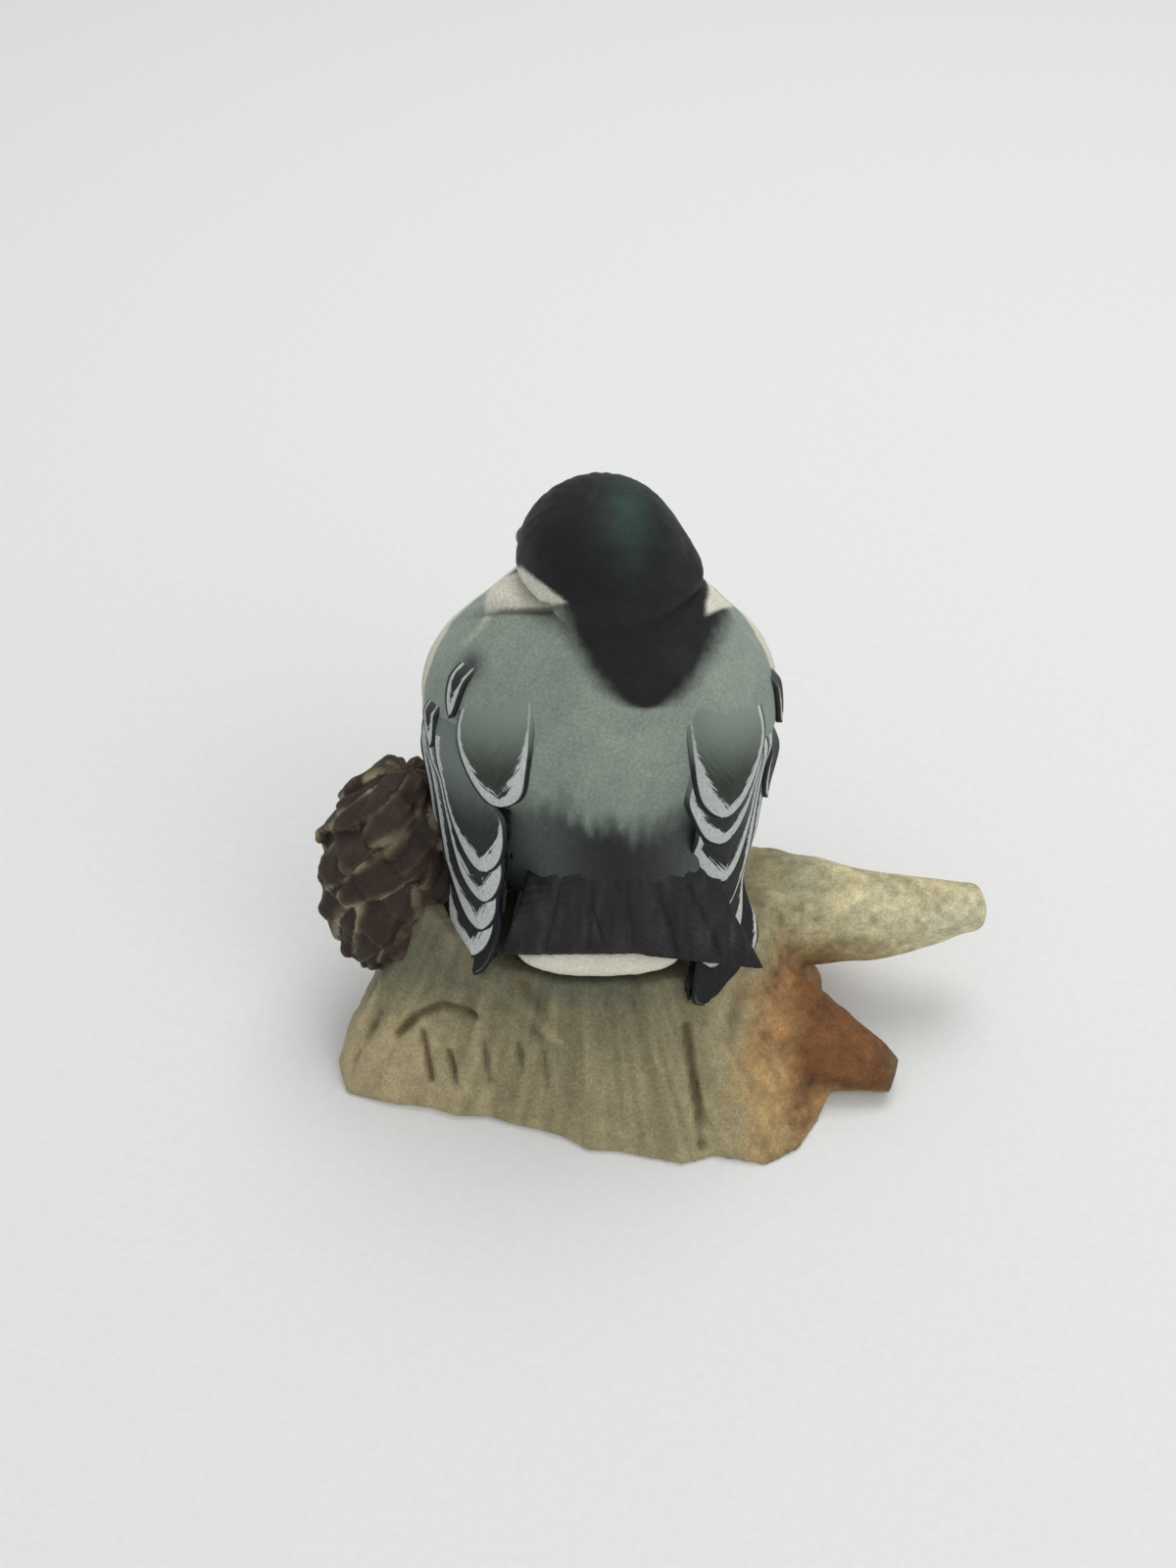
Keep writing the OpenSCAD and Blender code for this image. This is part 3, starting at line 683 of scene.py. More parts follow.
def feather(shell, root, tip, half, lift, point=0.5, thick=0.7, rim=(1.2, 0.5, 0.0), stain=None,
            rows=72, cols=27, outer=1, seed=0, sink=2.0, emerge=0.3, bow=0.0):
    """One feather on a shell. root and tip are (angle, height), half is its half width, lift its rise at the tip.
    rim is the white line's width round the tip, along the outer side and along the inner side; outer is the sign
    of the side that faces away from the spine. The root lies sink below the tip's rise and comes up over the
    share emerge of the length; bow swings the middle round by that many degrees."""
    (a0, z0), (a1, z1) = root, tip
    s = np.linspace(0, 1, rows)
    u = np.linspace(-1, 1, cols)

    def width_at(t):
        start = 1 - point
        full = 0.84 + 0.16 * smooth(0, start, t)
        taper = np.sqrt(np.clip(1 - (np.clip(t - start, 0, 1) / point) ** 2, 0.0009, 1))
        return half * np.where(t < start, full, taper)

    mid_r = float(shell.radius((a0 + a1) / 2, (z0 + z1) / 2 * MM)) / MM
    turn = math.radians(a1 - a0) * mid_r
    length = math.hypot(z0 - z1, turn)
    lean = math.atan2(turn, z0 - z1)
    S, U = np.meshgrid(s, u, indexing="ij")
    X = U * width_at(s)[:, None]
    ang = a0 + (a1 - a0) * S + bow * np.sin(np.pi * S)
    z = (z0 + (z1 - z0) * S) * MM
    ang = ang + np.degrees(X * math.cos(lean) * MM / shell.radius(ang, z))
    z = z + X * math.sin(lean) * MM
    across = U ** 2 * smooth(0, 0.3, S)
    rise = lift - sink * (1 - smooth(0.0, emerge, S)) - 0.08 * across + 0.08 * np.exp(-(U / 0.07) ** 2)
    top = shell.point(ang, z, rise)
    depth = thick * (0.35 + 0.65 * np.sqrt(1 - U ** 2)) * (1 + 1.2 * (1 - S))
    under = shell.point(ang, z, rise - depth)

    # Nearest point of the outline, which gives the distance in from the edge and whose edge it is.
    t = np.linspace(0, 1, 150)
    w = width_at(t)
    line = np.concatenate([np.stack([w, t * length], 1), np.stack([-w, t * length], 1)])
    plane = np.stack([X, S * length], -1).reshape(-1, 2)
    gaps = np.linalg.norm(plane[:, None] - line[None], axis=2)
    near = gaps.argmin(1)
    edge = gaps[np.arange(len(plane)), near]
    at = np.concatenate([t, t])[near]
    outside = np.concatenate([np.ones(150), -np.ones(150)])[near] * outer > 0
    round_tip = smooth(1 - 0.95 * point, 1 - 0.02 * point, at)
    wide = rim[0] * round_tip + (1 - round_tip) * np.where(outside, rim[1], rim[2])
    colour = (stain or graded(DARK, BLACK))(S).reshape(-1, 3)

    n = rows * cols
    i, j = np.meshgrid(np.arange(rows - 1), np.arange(cols - 1), indexing="ij")
    a = i * cols + j
    quads = np.stack([a, a + 1, a + cols + 1, a + cols], -1).reshape(-1, 4)
    loop = np.concatenate([np.arange(cols), np.arange(1, rows) * cols + cols - 1,
                           (rows - 1) * cols + np.arange(cols - 2, -1, -1),
                           np.arange(rows - 2, 0, -1) * cols])
    ahead = np.roll(loop, -1)
    wall = np.stack([loop, loop + n, ahead + n, ahead], -1)
    faces = np.vstack([quads[:, ::-1], quads + n, wall[:, ::-1]])
    if np.cross(top[1, 1] - top[0, 0], top[0, 1] - top[0, 0]) @ (top[0, 0] - under[0, 0]) < 0:
        faces = faces[:, ::-1]
    zero, one = np.zeros(n), np.ones(n)
    side = U.ravel() * 0.5 + 0.5
    facts = {
        "feather": np.vstack([np.stack([inset, side, S.ravel(), one], 1) for inset in (edge, zero)]),
        "plane": np.vstack([np.stack([plane[:, 0], plane[:, 1], zero, one * seed * 3.7], 1)] * 2),
        "rim": np.concatenate([wide, zero]),
        # The undersides and side walls take the stain at 0.4: painted shade.
        "stain": np.vstack([colour, colour * 0.4]),
    }
    return np.vstack([top.reshape(-1, 3), under.reshape(-1, 3)]), faces, facts


def feather_group(name, feathers):
    """Several feathers as one object."""
    verts, faces, start = [], [], 0
    merged = {}
    for v, f, facts in feathers:
        verts.append(v)
        faces.append(f + start)
        start += len(v)
        for k, a in facts.items():
            merged.setdefault(k, []).append(a)
    ob = new_object(name, np.vstack(verts), np.vstack(faces))
    for k, a in merged.items():
        set_attribute(ob.data, k, np.concatenate(a))
    return ob


def graded(upper, lower, tip_dark=0.006, turn=0.62):
    """Stain that runs from the upper colour at the root to the lower one, near black by the tip."""
    upper, lower = np.array(upper), np.array(lower)

    def at(s):
        t = smooth(turn - 0.3, turn + 0.16, s)[..., None]
        col = upper * (1 - t) + lower * t
        near = (smooth(0.84, 1.0, s) * 0.75)[..., None]
        return col * (1 - near) + np.array([tip_dark, tip_dark * 1.1, tip_dark * 1.4]) * near
    return at


SLATE = (0.205, 0.248, 0.214)
OLIVE = (0.030, 0.036, 0.026)
DARK = (0.020, 0.023, 0.020)
BLACK = (0.006, 0.007, 0.010)


def make_wings():
    """All the feathers, each wing's on its own side; the later ones of a wing lie under the earlier ones."""
    wing = feather_paint("wing_stain")
    kinds = {
        "broad": {"stain": graded(SLATE, OLIVE, 0.012, 0.60), "emerge": 0.56, "thick": 0.4},
        "night": {"stain": graded((0.150, 0.185, 0.170), DARK, 0.004, 0.62)},
        "plain": {},
        "small": {"stain": graded((0.10, 0.12, 0.11), DARK, 0.006, 0.35), "emerge": 0.5, "rows": 40, "cols": 17},
    }
    # Kind, root, tip, half width, lift, share of the length that rounds off, white rim, bow.
    wings = {
        "left_scapulars": [
            ("broad", (-145, 61), (-127.9, 43.4), 4.3, 0.62, 0.60, (1.6, 0.5, 0.15), 0),
            ("small", (-163, 60), (-155.5, 52.0), 1.4, 0.55, 0.70, (0.9, 0.35, 0.3), 0),
            ("small", (-170, 53.5), (-162.5, 46.0), 1.4, 0.55, 0.70, (0.9, 0.35, 0.3), 0)],
        "left_tertials": [
            ("night", (-155, 55), (-134, 33.0), 4.1, 0.50, 0.36, (1.8, 0.8, 0.1), -2),
            ("night", (-162, 57), (-132.0, 29.0), 4.2, 0.36, 0.29, (1.7, 0.8, 0.1), -4),
            ("night", (-167, 56), (-131.5, 25.0), 4.4, 0.22, 0.25, (1.6, 0.8, 0.1), -5)],
        "left_primaries": [
            ("night", (-171, 55), (-131.0, 21.9), 4.5, 0.08, 0.20, (1.6, 0.7, 0.1), -6),
            ("plain", (-175, 53), (-130.0, 19.6), 5.8, -0.06, 0.20, (0.12, 0.7, 0.0), -6),
            ("small", (-177, 44), (-160, 32), 2.4, -0.1, 0.70, (0.3, 0.5, 0.3), 0)],
        "right_scapulars": [
            ("broad", (-27, 60.5), (-39.6, 40.3), 4.9, 0.62, 0.62, (1.6, 0.6, 0.15), 0),
            ("small", (3, 55), (-5, 46.0), 1.7, 0.5, 0.70, (0.6, 0.3, 0.1), 0)],
        "right_tertials": [
            ("night", (-31, 52), (-39.4, 35.8), 4.8, 0.46, 0.60, (1.7, 0.8, 0.15), 0),
            ("night", (-25, 53), (-41, 30.2), 4.8, 0.36, 0.40, (1.6, 0.8, 0.1), 2),
            ("night", (-18, 54), (-47, 25.6), 4.7, 0.22, 0.22, (0.2, 0.8, 0.0), 5)],
        "right_primaries": [
            ("night", (-13, 54), (-53, 20.6), 4.6, 0.08, 0.20, (1.6, 0.8, 0.3), 8),
            ("plain", (-9, 53), (-56, 15.0), 5.0, -0.06, 0.14, (0.12, 0.7, 0.0), 10),
            ("night", (-5, 50), (-48, 21.5), 4.2, -0.20, 0.24, (0.12, 0.6, 0.0), 13),
            ("small", (0, 47), (-12, 36), 2.2, 0.5, 0.70, (0.5, 0.4, 0.1), 0)],
    }
    node_of = {"scapulars": "coverts", "tertials": "tertials", "primaries": "primaries"}
    count = 0
    for group, rows in wings.items():
        side, name = group.split("_")
        feathers = []
        for kind, root, tip, half, lift, point, rim, bow in rows:
            count += 1
            feathers.append(feather(wing_shell, root, tip, half, lift, point=point, rim=rim, bow=bow,
                                    outer=-1 if side == "left" else 1, seed=count, **kinds[kind]))
        finish_piece(feather_group(group, feathers), [side + "_wing_" + node_of[name]], wing)


def make_wing_beds():
    """The dark cast wing under the feathers, a little inside their surface; its near black is stain and painted
    shade.
    """
    stain = bisque("wing_bed_stain_and_shade", 0.6, 0.1)
    for side in ("left", "right"):
        nodes = [side + "_wing_tertials", side + "_wing_primaries"]
        ob, me, p, _ = cast(side + "_wing_bed", nodes, 0.5, 4)
        p = p - normals_of(me) * 1.1 * MM
        away = (p - AXIS) * np.array([1, 1, 0])
        sunk = 3.0 * smooth(39, 45, p[:, 2] / MM) * MM
        p = p - away / np.linalg.norm(away, axis=1)[:, None] * sunk[:, None]
        move_points(me, p)
        # Near black: the wing's dark stain, and painted shade where the bed shows between the feathers.
        tone = 0.012 + 0.006 * fbm(p, 1.5, 3, 3)
        set_attribute(me, "paint", np.stack([tone, tone * 1.05, tone * 1.25], 1))
        finish_piece(ob, nodes, stain)


# ---------------------------------------------------------------- tail and undertail

def make_tail():
    """The fan of tail feathers: stepped vanes, two splits and a lifted trailing edge."""
    ob, me, p, _ = cast("tail_fan", ["tail"], 0.24, 8)
    x, _, z = (p / MM).T
    s = np.clip((40 - z) / 16, 0, 1)
    half = 8.2 + 7.4 * s ** 1.25
    u = (x - 3.2 - 2 * s) / half
    n = normals_of(me)
    up = smooth(0.0, 0.5, -n[:, 1] + n[:, 2])
    step = 1 - ((np.abs(u) * 3.1) % 1.0)
    groove = -0.30 * bell((np.abs(u) * 3.1) % 1.0, 0.02, 0.10) + 0.10 * step
    split = (-0.55 * bell(x, 3.9 + 0.25 * (30 - z), 0.28) * bell(z, 32.6, 2.8)
             - 0.45 * bell(x, 0.8 + 0.3 * (28 - z), 0.26) * bell(z, 27.2, 1.6))
    barbs = 0.05 * np.sin(9 * (z + 0.55 * np.abs(x - 5)) + 3 * fbm(p, 3, 2, 4))
    q = np.stack([p[:, 0], p[:, 2] * 0.3, p[:, 1] * 0.3], 1)
    relief = groove * smooth(0.15, 0.7, s) + split + barbs + 0.12 * fbm(q, 1.6, 3, 6)
    p = p + n * (up * relief * MM)[:, None]
    corner = smooth(0.70, 1.0, np.abs(u)) * smooth(0.80, 0.45, s)
    p[:, 1] += (0.25 * smooth(0.62, 0.35, s) + 3.0 * corner - 0.7 * smooth(0.6, 1.0, s)) * MM
    p[:, 2] += 1.5 * smooth(0.5, 1.0, s) * MM
    move_points(me, p)
    fuzz = fbm(q, 1.3, 3, 8)
    col = np.tile(np.array([0.150, 0.178, 0.158]), (len(p), 1))
    col = lay_on(col, CHARCOAL, rump_fade(p))
    border = 0.7 * bell(np.abs(u), 0.95, 0.25) + 0.5 * smooth(0.88, 1.0, s + 0.05 * fuzz)
    col = lay_on(col, (0.008, 0.007, 0.009), border)
    thread = fbm(np.stack([p[:, 0], p[:, 2] * 0.12, p[:, 1] * 0.12], 1), 0.55, 3, 9)
    col = lay_on(col, (0.038, 0.034, 0.037), 0.6 * smooth(-0.1, 0.6, fuzz) * up * rump_fade(p))
    col = col * (1 + 0.55 * thread * up)[:, None]
    low = smooth(0.2, -0.2, n[:, 2] - n[:, 1] * 0.4) * smooth(0.85, 0.97, s)
    col = lay_on(col, (0.035, 0.007, 0.006), 0.8 * low)
    set_attribute(me, "paint", col)
    finish_piece(ob, ["tail"], bisque("tail_stain", 0.6, 0.14, 0.04))


def make_undertail():
    """Pale down between the tail and the stump."""
    ob, me, p, _ = cast("undertail_down", ["undertail_coverts"], 0.36, 6)
    n = normals_of(me)
    q = p * np.array([1.0, 0.35, 0.6])
    p = p + n * (0.10 * fbm(q, 1.2, 3, 12) * MM)[:, None]
    p[:, 2] += 0.9 * smooth(-15, -19, p[:, 1] / MM) * MM
    move_points(me, p)
    _, y, z = (p / MM).T
    fuzz = fbm(p, 1.8, 3, 13)
    pale = np.array([0.74, 0.71, 0.58])
    drab = np.array([0.16, 0.165, 0.105])
    t = smooth(21.4, 19.4, z + 0.8 * fuzz)[:, None]
    col = pale * (1 - t) + drab * t
    t = smooth(-16, -10, y)[:, None] * 0.7
    col = col * (1 - t) + np.array([0.12, 0.125, 0.10]) * t
    set_attribute(me, "paint", col)
    finish_piece(ob, ["undertail_coverts"], bisque("undertail_stain", 0.66, 0.12))


# ---------------------------------------------------------------- bark

def carve(p, start, end, width, depth):
    """Depth of a cut along a segment, given in design millimetres, at points p."""
    a, b = mm(*start), mm(*end)
    ab = b - a
    t = np.clip(((p - a) @ ab) / (ab @ ab), 0, 1)
    d = np.linalg.norm(p - (a + t[:, None] * ab), axis=1) / MM
    return -depth * np.exp(-(d / width) ** 2) * (0.55 + 0.45 * np.sin(np.pi * (0.15 + 0.7 * t)))


def arc(p, points, width, depth):
    """Deepest of the cuts along a chain of points."""
    return np.min([carve(p, a, b, width, depth) for a, b in zip(points, points[1:])], axis=0)


def make_wood():
    """Stump, branch stub and broken snag as one cast, so that the wood runs on from one to the next."""
    nodes = ["stump", "branch", "broken_snag"]
    ob, me, p, e = cast("wood_bark", nodes, 0.40, 10)
    x, y, z = (p / MM).T
    joint = np.maximum(bell(x, 25.5, 3.2) * smooth(5, 9, z) * smooth(-13, -10, y),
                       bell(x, 23.5, 3.2) * smooth(-9, -12, y) * smooth(14, 11, z)) * smooth(0.5, 2.0, z)
    for _ in range(60):
        p = p + 0.5 * joint[:, None] * (neighbour_mean(p, e) - p)
    move_points(me, p)
    n = normals_of(me)
    x, y, z = (p / MM).T
    theta = np.degrees(np.arctan2(y + 5, x))
    side = (smooth(0.5, 1.6, z) * smooth(0.9, 0.5, np.abs(n[:, 2]))
            + smooth(3, 6, z) * smooth(0.95, 0.7, n[:, 2]))
    side = np.clip(side, 0, 1) * smooth(0.2, 1.2, z) * smooth(27, 23, x)
    flow = np.stack([theta * 0.38 * MM, z * 0.16 * MM, 0 * z], 1)
    ridges = 0.30 * fbm(flow, 1.8, 3, 61) + 0.50 * fbm(p, 5.5, 3, 62) + 0.09 * fbm(p, 1.1, 2, 63)
    # Plain gouges in the bark: one long flute, an arched one on the left, and five short strokes below it.
    flute = [(11.9, -22.4, 13.2), (12.7, -25.3, 9.1), (13.5, -28.3, 5.1), (13.9, -31.4, 2.0)]
    arch = [(-23.7, -20.4, 9.4), (-21.1, -19.8, 12.4), (-18, -19.8, 14.4), (-13.4, -21.8, 14.6)]
    cuts = (arc(p, flute, 0.6, 0.9) + carve(p, (13.9, -31.0, 2.4), (14.1, -31.8, 1.6), 0.8, 0.8)
            + arc(p, arch, 0.7, 1.0))
    strokes = [((-20.4, -20.8, 10.6), (-19.6, -23.8, 4.6)), ((-17.4, -22.6, 8.6), (-16.6, -24.4, 4.9)),
               ((-12.8, -22.5, 10.9), (-12.2, -24.9, 5.6)), ((-8.6, -22.5, 10.0), (-8.0, -24.2, 6.4)),
               ((-5.4, -23.4, 9.6), (-4.9, -25.8, 5.4))]
    for k, (a, b) in enumerate(strokes):
        cuts = cuts + carve(p, a, b, 0.55, 0.85 - 0.12 * (k % 3))
    cuts = cuts + arc(p, [(-26.4, -17.6, 9.9), (-29.0, -18.9, 5.8), (-29.4, -21.0, 3.2)], 1.3, 0.9)
    cuts = cuts - arc(p, [(-11.8, -20.1, 19.4), (-7.8, -20.7, 14.8), (-3.6, -22.8, 11.4)], 1.1, 0.9)
    cuts = cuts - arc(p, [(-25.2, -13.6, 13.6), (-28.0, -17.0, 8.0), (-29.8, -19.9, 3.7)], 1.4, 0.7)
    cuts = cuts - carve(p, (-11.8, -20.3, 19.6), (-18.6, -17.6, 19.0), 1.0, 0.6)
    cuts = cuts + carve(p, (19.2, -17.3, 16.3), (17.4, -22.7, 11.0), 1.6, 0.6)
    cuts = cuts + carve(p, (-8.3, -19.7, 19.3), (-6.2, -21.4, 12.5), 1.4, 0.7)
    q = p * np.array([0.22, 1, 1])
    out = smooth(23, 27, x) * smooth(0.4, 1.6, z) * smooth(51.2, 46, x)
    knots = (0.30 * fbm(q, 2.2, 3, 81) + 0.40 * fbm(p, 6.0, 2, 82)
             + carve(p, (29, -8.4, 15.0), (38, -8.6, 14.2), 1.6, 0.45)
             + carve(p, (26, -6.0, 19.0), (34, -5.0, 18.6), 1.2, 0.4))
    p = p + n * ((side * (ridges + cuts) + out * knots) * MM)[:, None]
    p[:, 2] = np.maximum(p[:, 2], 0)
    p = np.clip(p, *box_of(nodes))
    move_points(me, p)
    ridge = curvature(me, p, e, 10)

    fuzz, soft, fine = fbm(p, 3.0, 4, 71), fbm(p, 9.0, 3, 72), fbm(p, 0.9, 3, 73)
    grain = fbm(p * np.array([0.22, 1, 1]), 2.4, 4, 83)
    tan = np.array([0.275, 0.235, 0.130])
    pale = np.array([0.430, 0.350, 0.195])
    olive = np.array([0.150, 0.145, 0.080])
    green = np.array([0.105, 0.112, 0.074])
    ochre = np.array([0.385, 0.235, 0.090])
    rust = np.array([0.240, 0.100, 0.030])
    shade = np.array([0.036, 0.040, 0.028])
    w = y + z
    col = np.tile(tan, (len(p), 1))
    left = smooth(-9, -20, x + 3 * fuzz)
    col = lay_on(col, pale, left * smooth(-5, -13, w + 3 * fuzz) * 0.85)
    col = lay_on(col, green, left * smooth(-9, 1, w + 3 * fuzz) * 0.7)
    col = lay_on(col, olive, smooth(-18, -8, w + 3 * fuzz) * bell(x, 1, 12) * 0.6)
    col = lay_on(col, green, smooth(-8, -2, w + 2.5 * fuzz) * bell(x, -1, 13) * 0.8)
    col = lay_on(col, tan * 1.25, smooth(13.5, 16, x + 2 * fuzz) * smooth(22, 12, z) * smooth(5, -5, y) * 0.8)
    foot = smooth(16, 22, x + 4 * fuzz) * smooth(19, 9, z + 2 * fuzz)
    col = lay_on(col, ochre, foot * smooth(6, -4, y) * 0.8)
    col = lay_on(col, rust, smooth(19.5, 26, x + 3.5 * fuzz + 0.25 * (w + 14)) * smooth(18, 12, z) * 0.7)
    col = lay_on(col, pale, bell(w, -31, 6) * bell(x, 2, 20) * 0.5 * smooth(-0.3, 0.5, soft + 0.2))
    col = lay_on(col, olive, smooth(-2, 10, y) * smooth(2, 12, z + 2 * soft) * 0.6)
    col = lay_on(col, shade, smooth(-1.5, 1.2, w + fuzz) * bell(x, 2, 13) * smooth(-12, -16, y) * 0.85)

    # Branch: cream, mossy at its root and rusty underneath.
    branch = np.tile(np.array([0.520, 0.455, 0.265]), (len(p), 1))
    branch = lay_on(branch, (0.60, 0.56, 0.38), smooth(-0.1, 0.6, soft) * 0.8)
    # Each stain's colour, where it lies along the branch, where it lies from its top down, and its strength.
    for stain, along, down, strength in (
            ((0.235, 0.235, 0.155), smooth(34, 25, x + 2.5 * grain), smooth(8, 15, w + grain), 0.9),
            ((0.36, 0.26, 0.10), smooth(44, 31, x + 3 * grain), smooth(7.5, 2.5, w + 1.5 * grain), 0.75),
            ((0.185, 0.115, 0.048), smooth(38, 26, x + 3 * grain), smooth(6, 1, w + 1.5 * grain), 0.8),
            ((0.24, 0.095, 0.030), smooth(36, 26, x + 2 * grain), smooth(3, -2, w + grain), 0.75)):
        branch = lay_on(branch, stain, along * down * strength)
    on_branch = smooth(23.0, 28.5, x + 1.5 * fuzz) * smooth(5.5, 9.5, z + fuzz) * smooth(-14.5, -11, y)
    # Snag: rusty brown, paler at its foot and on the broken end.
    snag = np.tile(np.array([0.165, 0.066, 0.019]), (len(p), 1))
    snag = lay_on(snag, (0.30, 0.175, 0.065), smooth(28, 22, x + 2 * fuzz))
    snag = lay_on(snag, (0.36, 0.215, 0.085), smooth(4.2, 1.0, z + fuzz) * 0.8)
    snag = lay_on(snag, (0.105, 0.045, 0.018), 0.7 * smooth(0.0, 0.7, grain))
    snag = lay_on(snag, (0.13, 0.10, 0.05), smooth(36.6, 38.4, x) * 0.7)
    on_snag = smooth(23.5, 28.0, x + 1.5 * fuzz) * smooth(-10.5, -13, y) * smooth(14, 11, z)
    col = lay_on(col, branch, on_branch)
    col = lay_on(col, snag, on_snag)

    col = lay_on(col, shade * 1.8, 0.6 * smooth(-0.03, -0.20, ridge))
    # Painted highlight: pale on the ridges, low on the stump's left and middle.
    col = lay_on(col, pale, 0.55 * smooth(0.03, 0.16, ridge) * smooth(20, 8, z) * smooth(20, 14, x))
    cut_depth = smooth(0.15, 0.8, -cuts)
    col = lay_on(col, (0.115, 0.075, 0.028), 0.7 * cut_depth * side)
    col = lay_on(col, (0.42, 0.34, 0.21), 0.4 * smooth(1.4, 0.3, z) * smooth(0.0, 0.6, fuzz + 0.4))
    brushed = fbm(np.stack([theta * 0.38 * MM, z * 0.10 * MM, 0 * z], 1), 0.8, 3, 74) * smooth(28, 22, x)
    gnarl = (0.45 * fbm(p * np.array([0.35, 0.6, 1.0]), 1.7, 3, 75) + 0.30 * fine) * smooth(17, 24, x)
    col = col * (1 + 0.16 * fine + 0.30 * brushed + gnarl)[:, None]
    under = smooth(-0.6, -0.9, n[:, 2]) * smooth(0.5, 0.1, z)
    col = lay_on(col, (0.62, 0.60, 0.54), under)
    set_attribute(me, "paint", np.clip(col, 0, 1))
    finish_piece(ob, nodes, bisque("bark_stain", 0.68, 0.2, 0.05))


# ---------------------------------------------------------------- pine cone

def make_cone():
    """Long overlapping scales that sweep down round the core, fused as one cast; cream rims, painted highlights,
    painted shade.
    """
    nodes = ["cone_core", "cone_scales_top", "cone_scales_middle", "cone_scales_tip"]
    top = mm(-21.6, -0.4, 35.8)
    way = unit(np.array([-5.6, -10.6, -25.0]))
    length = 27.0
    side = unit(np.cross(way, [0, 1, 0]))
    up = np.cross(side, way)
    ob, me, p, e = cast("pine_cone", nodes, 0.3, 12)
    n = normals_of(me)
    rel = (p - top) / MM
    t = (rel @ way) / length
    a = np.degrees(np.arctan2(rel @ up, rel @ side))
    # Scales on a slanting lattice: each one is a long leaf with a raised, rounded tip.
    per_turn, rows = 7, 3.2
    turn = a / 360 * per_turn + 2.2 * t
    height = np.full(len(p), -9.0)
    crest = np.zeros(len(p))
    for k in range(-1, 5):
        phase = 0.5 * (k % 2)
        cell = np.round(turn - phase)
        wave = 0.22 * np.sin(6.5 * t + 2.3 * cell + 1.7 * k)
        off = turn - phase - cell + wave
        s = (t - k / rows) / 0.62
        shape = np.sqrt(np.clip(1 - (np.clip(s, 0, 1) - 0.45) ** 2 / 0.31, 0, 1)) * 0.62
        within = smooth(shape, shape - 0.25, np.abs(off))
        inside = (s > 0) & (s < 1)
        body = np.where(inside, within * (0.15 + 0.85 * smooth(0.0, 0.8, s)) * smooth(1.02, 0.9, s), -9)
        body = body + np.where(inside, 0.35 * bell(off, 0.12, 0.13) * smooth(0, 0.3, s), 0)
        edge = bell(np.abs(off), shape - 0.12, 0.10) * inside * smooth(0.05, 0.4, s)
        crest = np.where(body > height, edge, crest)
        height = np.maximum(height, body)
    height = np.clip(height, -0.35, 1.4)
    flow = np.stack([turn * 1.1 * MM, t * 3.0 * MM, 0 * t], 1)
    strands = 0.16 * fbm(flow, 0.35, 3, 101) + 0.10 * fbm(p, 1.2, 3, 102)
    bulk = np.clip(height * 1.3 - 0.8, -1.1, 0.8) + strands
    p = p + n * (bulk * smooth(0.0, 0.06, 1.02 - t) * MM)[:, None]
    p = relax(np.clip(p, *box_of(nodes)), e, 1)
    move_points(me, p)
    ridge = curvature(me, p, e, 7)
    fuzz, fine = fbm(p, 2.0, 3, 103), fbm(p, 0.7, 2, 104)
    col = np.tile(np.array([0.030, 0.018, 0.012]), (len(p), 1))
    col = lay_on(col, (0.056, 0.036, 0.022), smooth(-0.1, 0.6, fuzz) * 0.6)
    # Painted shade in the hollows between the scales, and painted highlight on the ridges.
    col = lay_on(col, (0.012, 0.008, 0.006), smooth(0.02, -0.22, ridge))
    col = lay_on(col, (0.105, 0.072, 0.040), smooth(0.06, 0.24, ridge + 0.05 * fine) * 0.8)
    # Scale rims picked out in cream, and cream ridge tops: part paint and part painted highlight, stronger on the
    # outer left.
    outside = smooth(-21, -27, p[:, 0] / MM)
    col = lay_on(col, (0.42, 0.35, 0.22), crest * (0.35 + 0.5 * outside) * smooth(-0.5, 0.3, fuzz))
    col = lay_on(col, (0.36, 0.29, 0.17), smooth(0.20, 0.42, ridge + 0.08 * fuzz) * (0.3 + 0.6 * outside))
    set_attribute(me, "paint", np.clip(col, 0, 1))
    finish_piece(ob, nodes, bisque("cone_stain", 0.66, 0.2, 0.05))


# ---------------------------------------------------------------- small parts

def make_small():
    """Toes, bill and eyes."""
    stain = bisque("foot_stain", 0.55, 0.15)
    for name in ("left_foot", "right_foot"):
        ob, me, p, _ = cast(name + "_toes", [name], 0.26, 6)
        n = normals_of(me)
        _, y, z = (p / MM).T
        rings = np.sin(5.2 * (y - 0.8 * z)) * smooth(20.5, 21.2, z)
        p = p + n * ((0.07 * rings + 0.05 * fbm(p, 0.8, 2, 111)) * MM)[:, None]
        move_points(me, p)
        claw = smooth(19.2, 18.2, z)
        col = lay_on(np.tile(np.array([0.075, 0.080, 0.092]), (len(p), 1)), (0.02, 0.02, 0.022), claw)
        col = col * (1 + 0.25 * fbm(p, 0.9, 2, 112))[:, None]
        set_attribute(me, "paint", np.clip(col, 0, 1))
        finish_piece(ob, [name], stain)
    horn = bisque("bill_stain", 0.38, 0.1, 0.015)
    for name in ("upper_bill", "lower_bill"):
        ob, me, p, _ = cast(name + "_horn", [name], 0.14, 5)
        tone = 0.012 + 0.004 * fbm(p, 0.8, 2, 113)
        set_attribute(me, "paint", np.stack([tone, tone, tone * 1.05], 1))
        finish_piece(ob, [name], horn)
    gloss = enamel("eye_enamel", (0.012, 0.008, 0.006), 0.06)
    gloss.node_tree.nodes["Principled BSDF"].inputs["Coat Weight"].default_value = 0.8
    for name in ("left_eye", "right_eye"):
        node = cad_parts[name]
        node.data.materials.clear()
        node.data.materials.append(gloss)


# ---------------------------------------------------------------- floor, light and camera

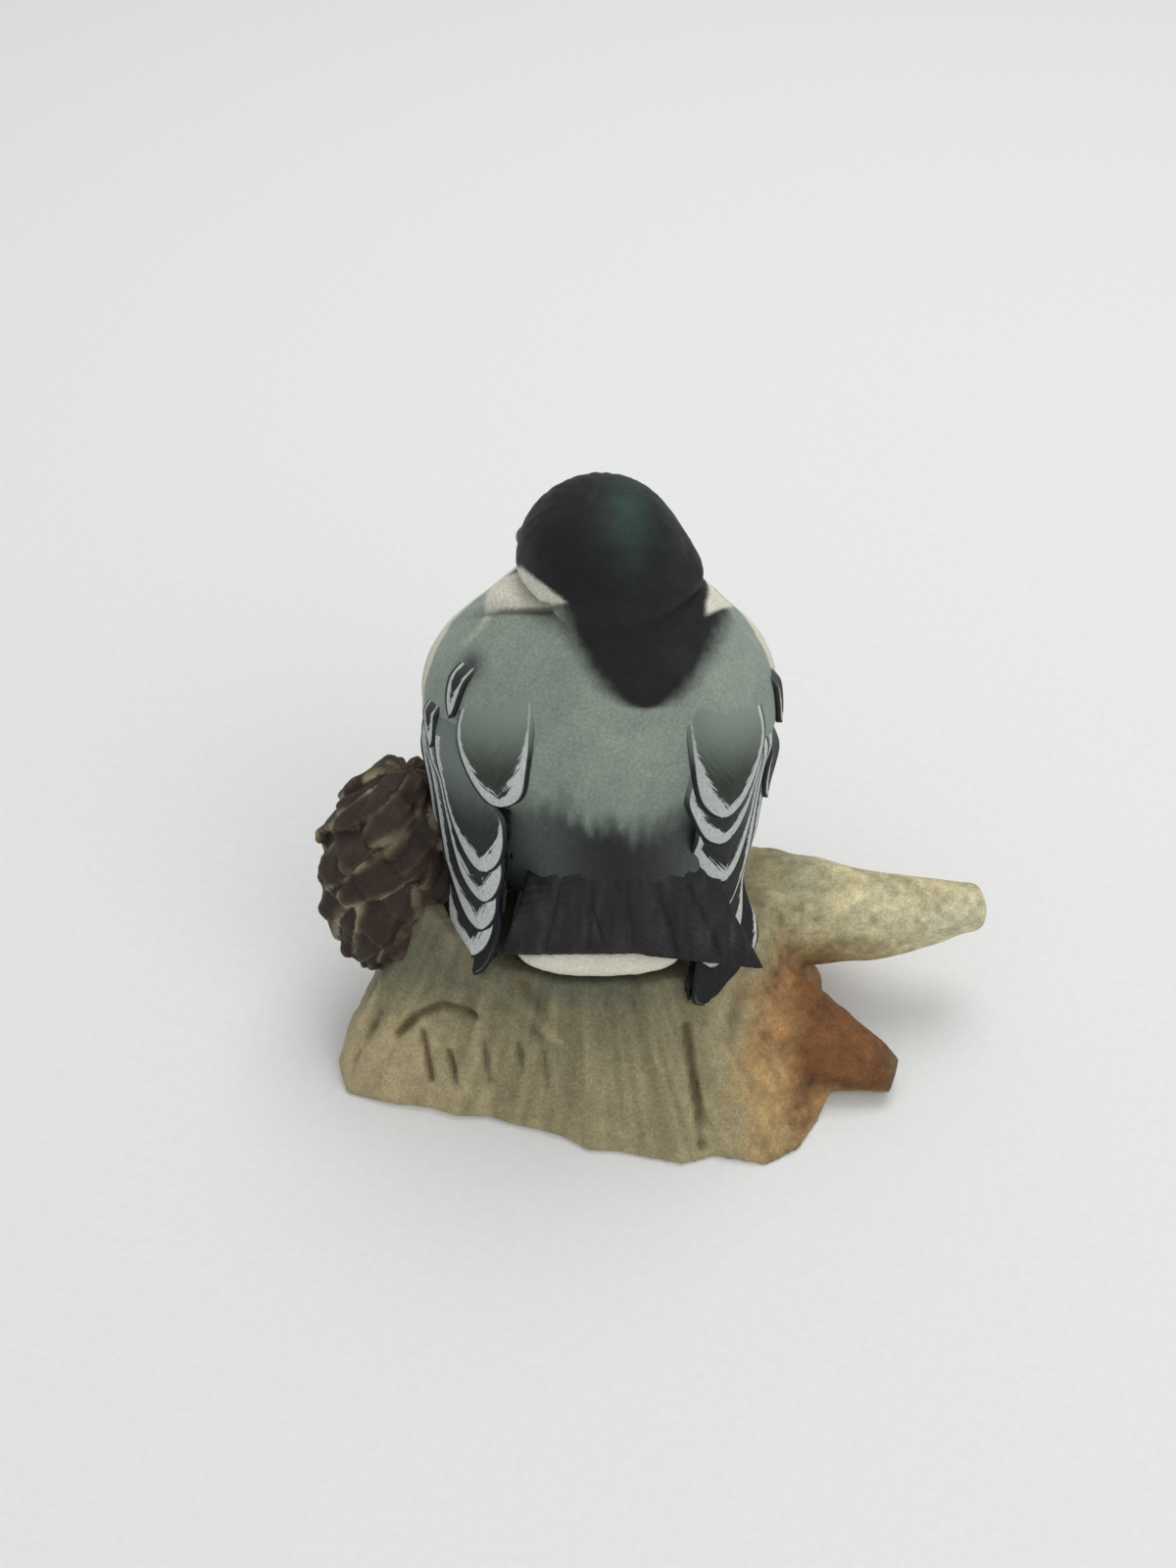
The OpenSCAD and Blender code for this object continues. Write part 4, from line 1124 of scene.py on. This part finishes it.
def make_stage():
    """Pale paper floor, soft world light and two area lights."""
    size, cells, below = 1.6, 40, 0.00002
    xs = np.linspace(-size / 2, size / 2, cells + 1)
    gx, gy = np.meshgrid(xs, xs, indexing="ij")
    verts = np.stack([gx.ravel(), gy.ravel(), np.full(gx.size, cad_lo.z - below)], 1)
    i, j = np.meshgrid(np.arange(cells), np.arange(cells), indexing="ij")
    k = cells + 1
    faces = np.stack([i * k + j, (i + 1) * k + j, (i + 1) * k + j + 1, i * k + j + 1], -1).reshape(-1, 4)
    floor = new_object("floor", verts, faces)
    g = Graph("floor_paper")
    grain = g.noise(1.1, 4.0, 0.6)
    g.put(g.shader.inputs["Base Color"],
          g.mix(g.band(grain, 0.3, 0.7), rgb(0.80, 0.805, 0.795), rgb(0.775, 0.78, 0.77)))
    g.put(g.shader.inputs["Roughness"], g.band(grain, 0.3, 0.7, 0.8, 0.95))
    g.put(g.shader.inputs["Normal"], g.bump(grain, 0.03, 0.6))
    floor.data.materials.append(g.material)

    world = bpy.data.worlds.new("studio")
    bpy.context.scene.world = world
    world.use_nodes = True
    world.node_tree.nodes["Background"].inputs["Color"].default_value = rgb(0.96, 0.98, 1.0)
    world.node_tree.nodes["Background"].inputs["Strength"].default_value = 0.63

    def lamp(name, at, aim, size, power, colour):
        data = bpy.data.lights.new(name, "AREA")
        data.shape = "DISK"
        data.size = size
        data.energy = power
        data.color = colour
        ob = bpy.data.objects.new(name, data)
        bpy.context.scene.collection.objects.link(ob)
        ob.location = at
        ob.rotation_mode = "QUATERNION"
        ob.rotation_quaternion = (Vector(aim) - Vector(at)).to_track_quat("-Z", "Y")

    lamp("top_soft", (0.10, 0.20, 0.62), (0, 0, 0.03), 0.40, 1.45, (1.0, 0.985, 0.96))
    lamp("front_fill", (0.42, -0.42, 0.55), (0, 0, 0.03), 0.60, 1.2, (0.97, 0.99, 1.0))


# The viewing distance and angle are assumed, not fitted; the focal length follows from the distance chosen.
PHOTO_HEIGHT, FOCAL = 1600, 1826                    # pixels
SENSOR = 36.0
CAMERA_AWAY, CAMERA_DOWN = 220 * MM, math.radians(45)
AIM_AT = 0.434                                      # share of the figurine's height


def make_camera():
    data = bpy.data.cameras.new("camera")
    cam = bpy.data.objects.new("camera", data)
    bpy.context.scene.collection.objects.link(cam)
    data.sensor_width = SENSOR
    data.lens = FOCAL / PHOTO_HEIGHT * SENSOR
    aim = Vector((0, 0, cad_lo.z + AIM_AT * (cad_hi.z - cad_lo.z)))
    back = Vector((0, -math.cos(CAMERA_DOWN), math.sin(CAMERA_DOWN)))
    cam.location = aim + back * CAMERA_AWAY
    cam.rotation_mode = "QUATERNION"
    cam.rotation_quaternion = (-back).to_track_quat("-Z", "Y")
    data.clip_start, data.clip_end = 0.01, 10.0
    bpy.context.scene.camera = cam


make_camera()
skin = make_skin()
skin_paint(skin)
finish_piece(skin, ["bird_body", "head", "left_wing_coverts", "right_wing_coverts", "left_flank",
                    "right_flank"], bisque("bird_stain", 0.64, 0.17, 0.035))
make_wings()
make_wing_beds()
make_tail()
make_undertail()
make_wood()
make_cone()
make_small()
make_stage()
bpy.context.scene.view_settings.view_transform = "Standard"
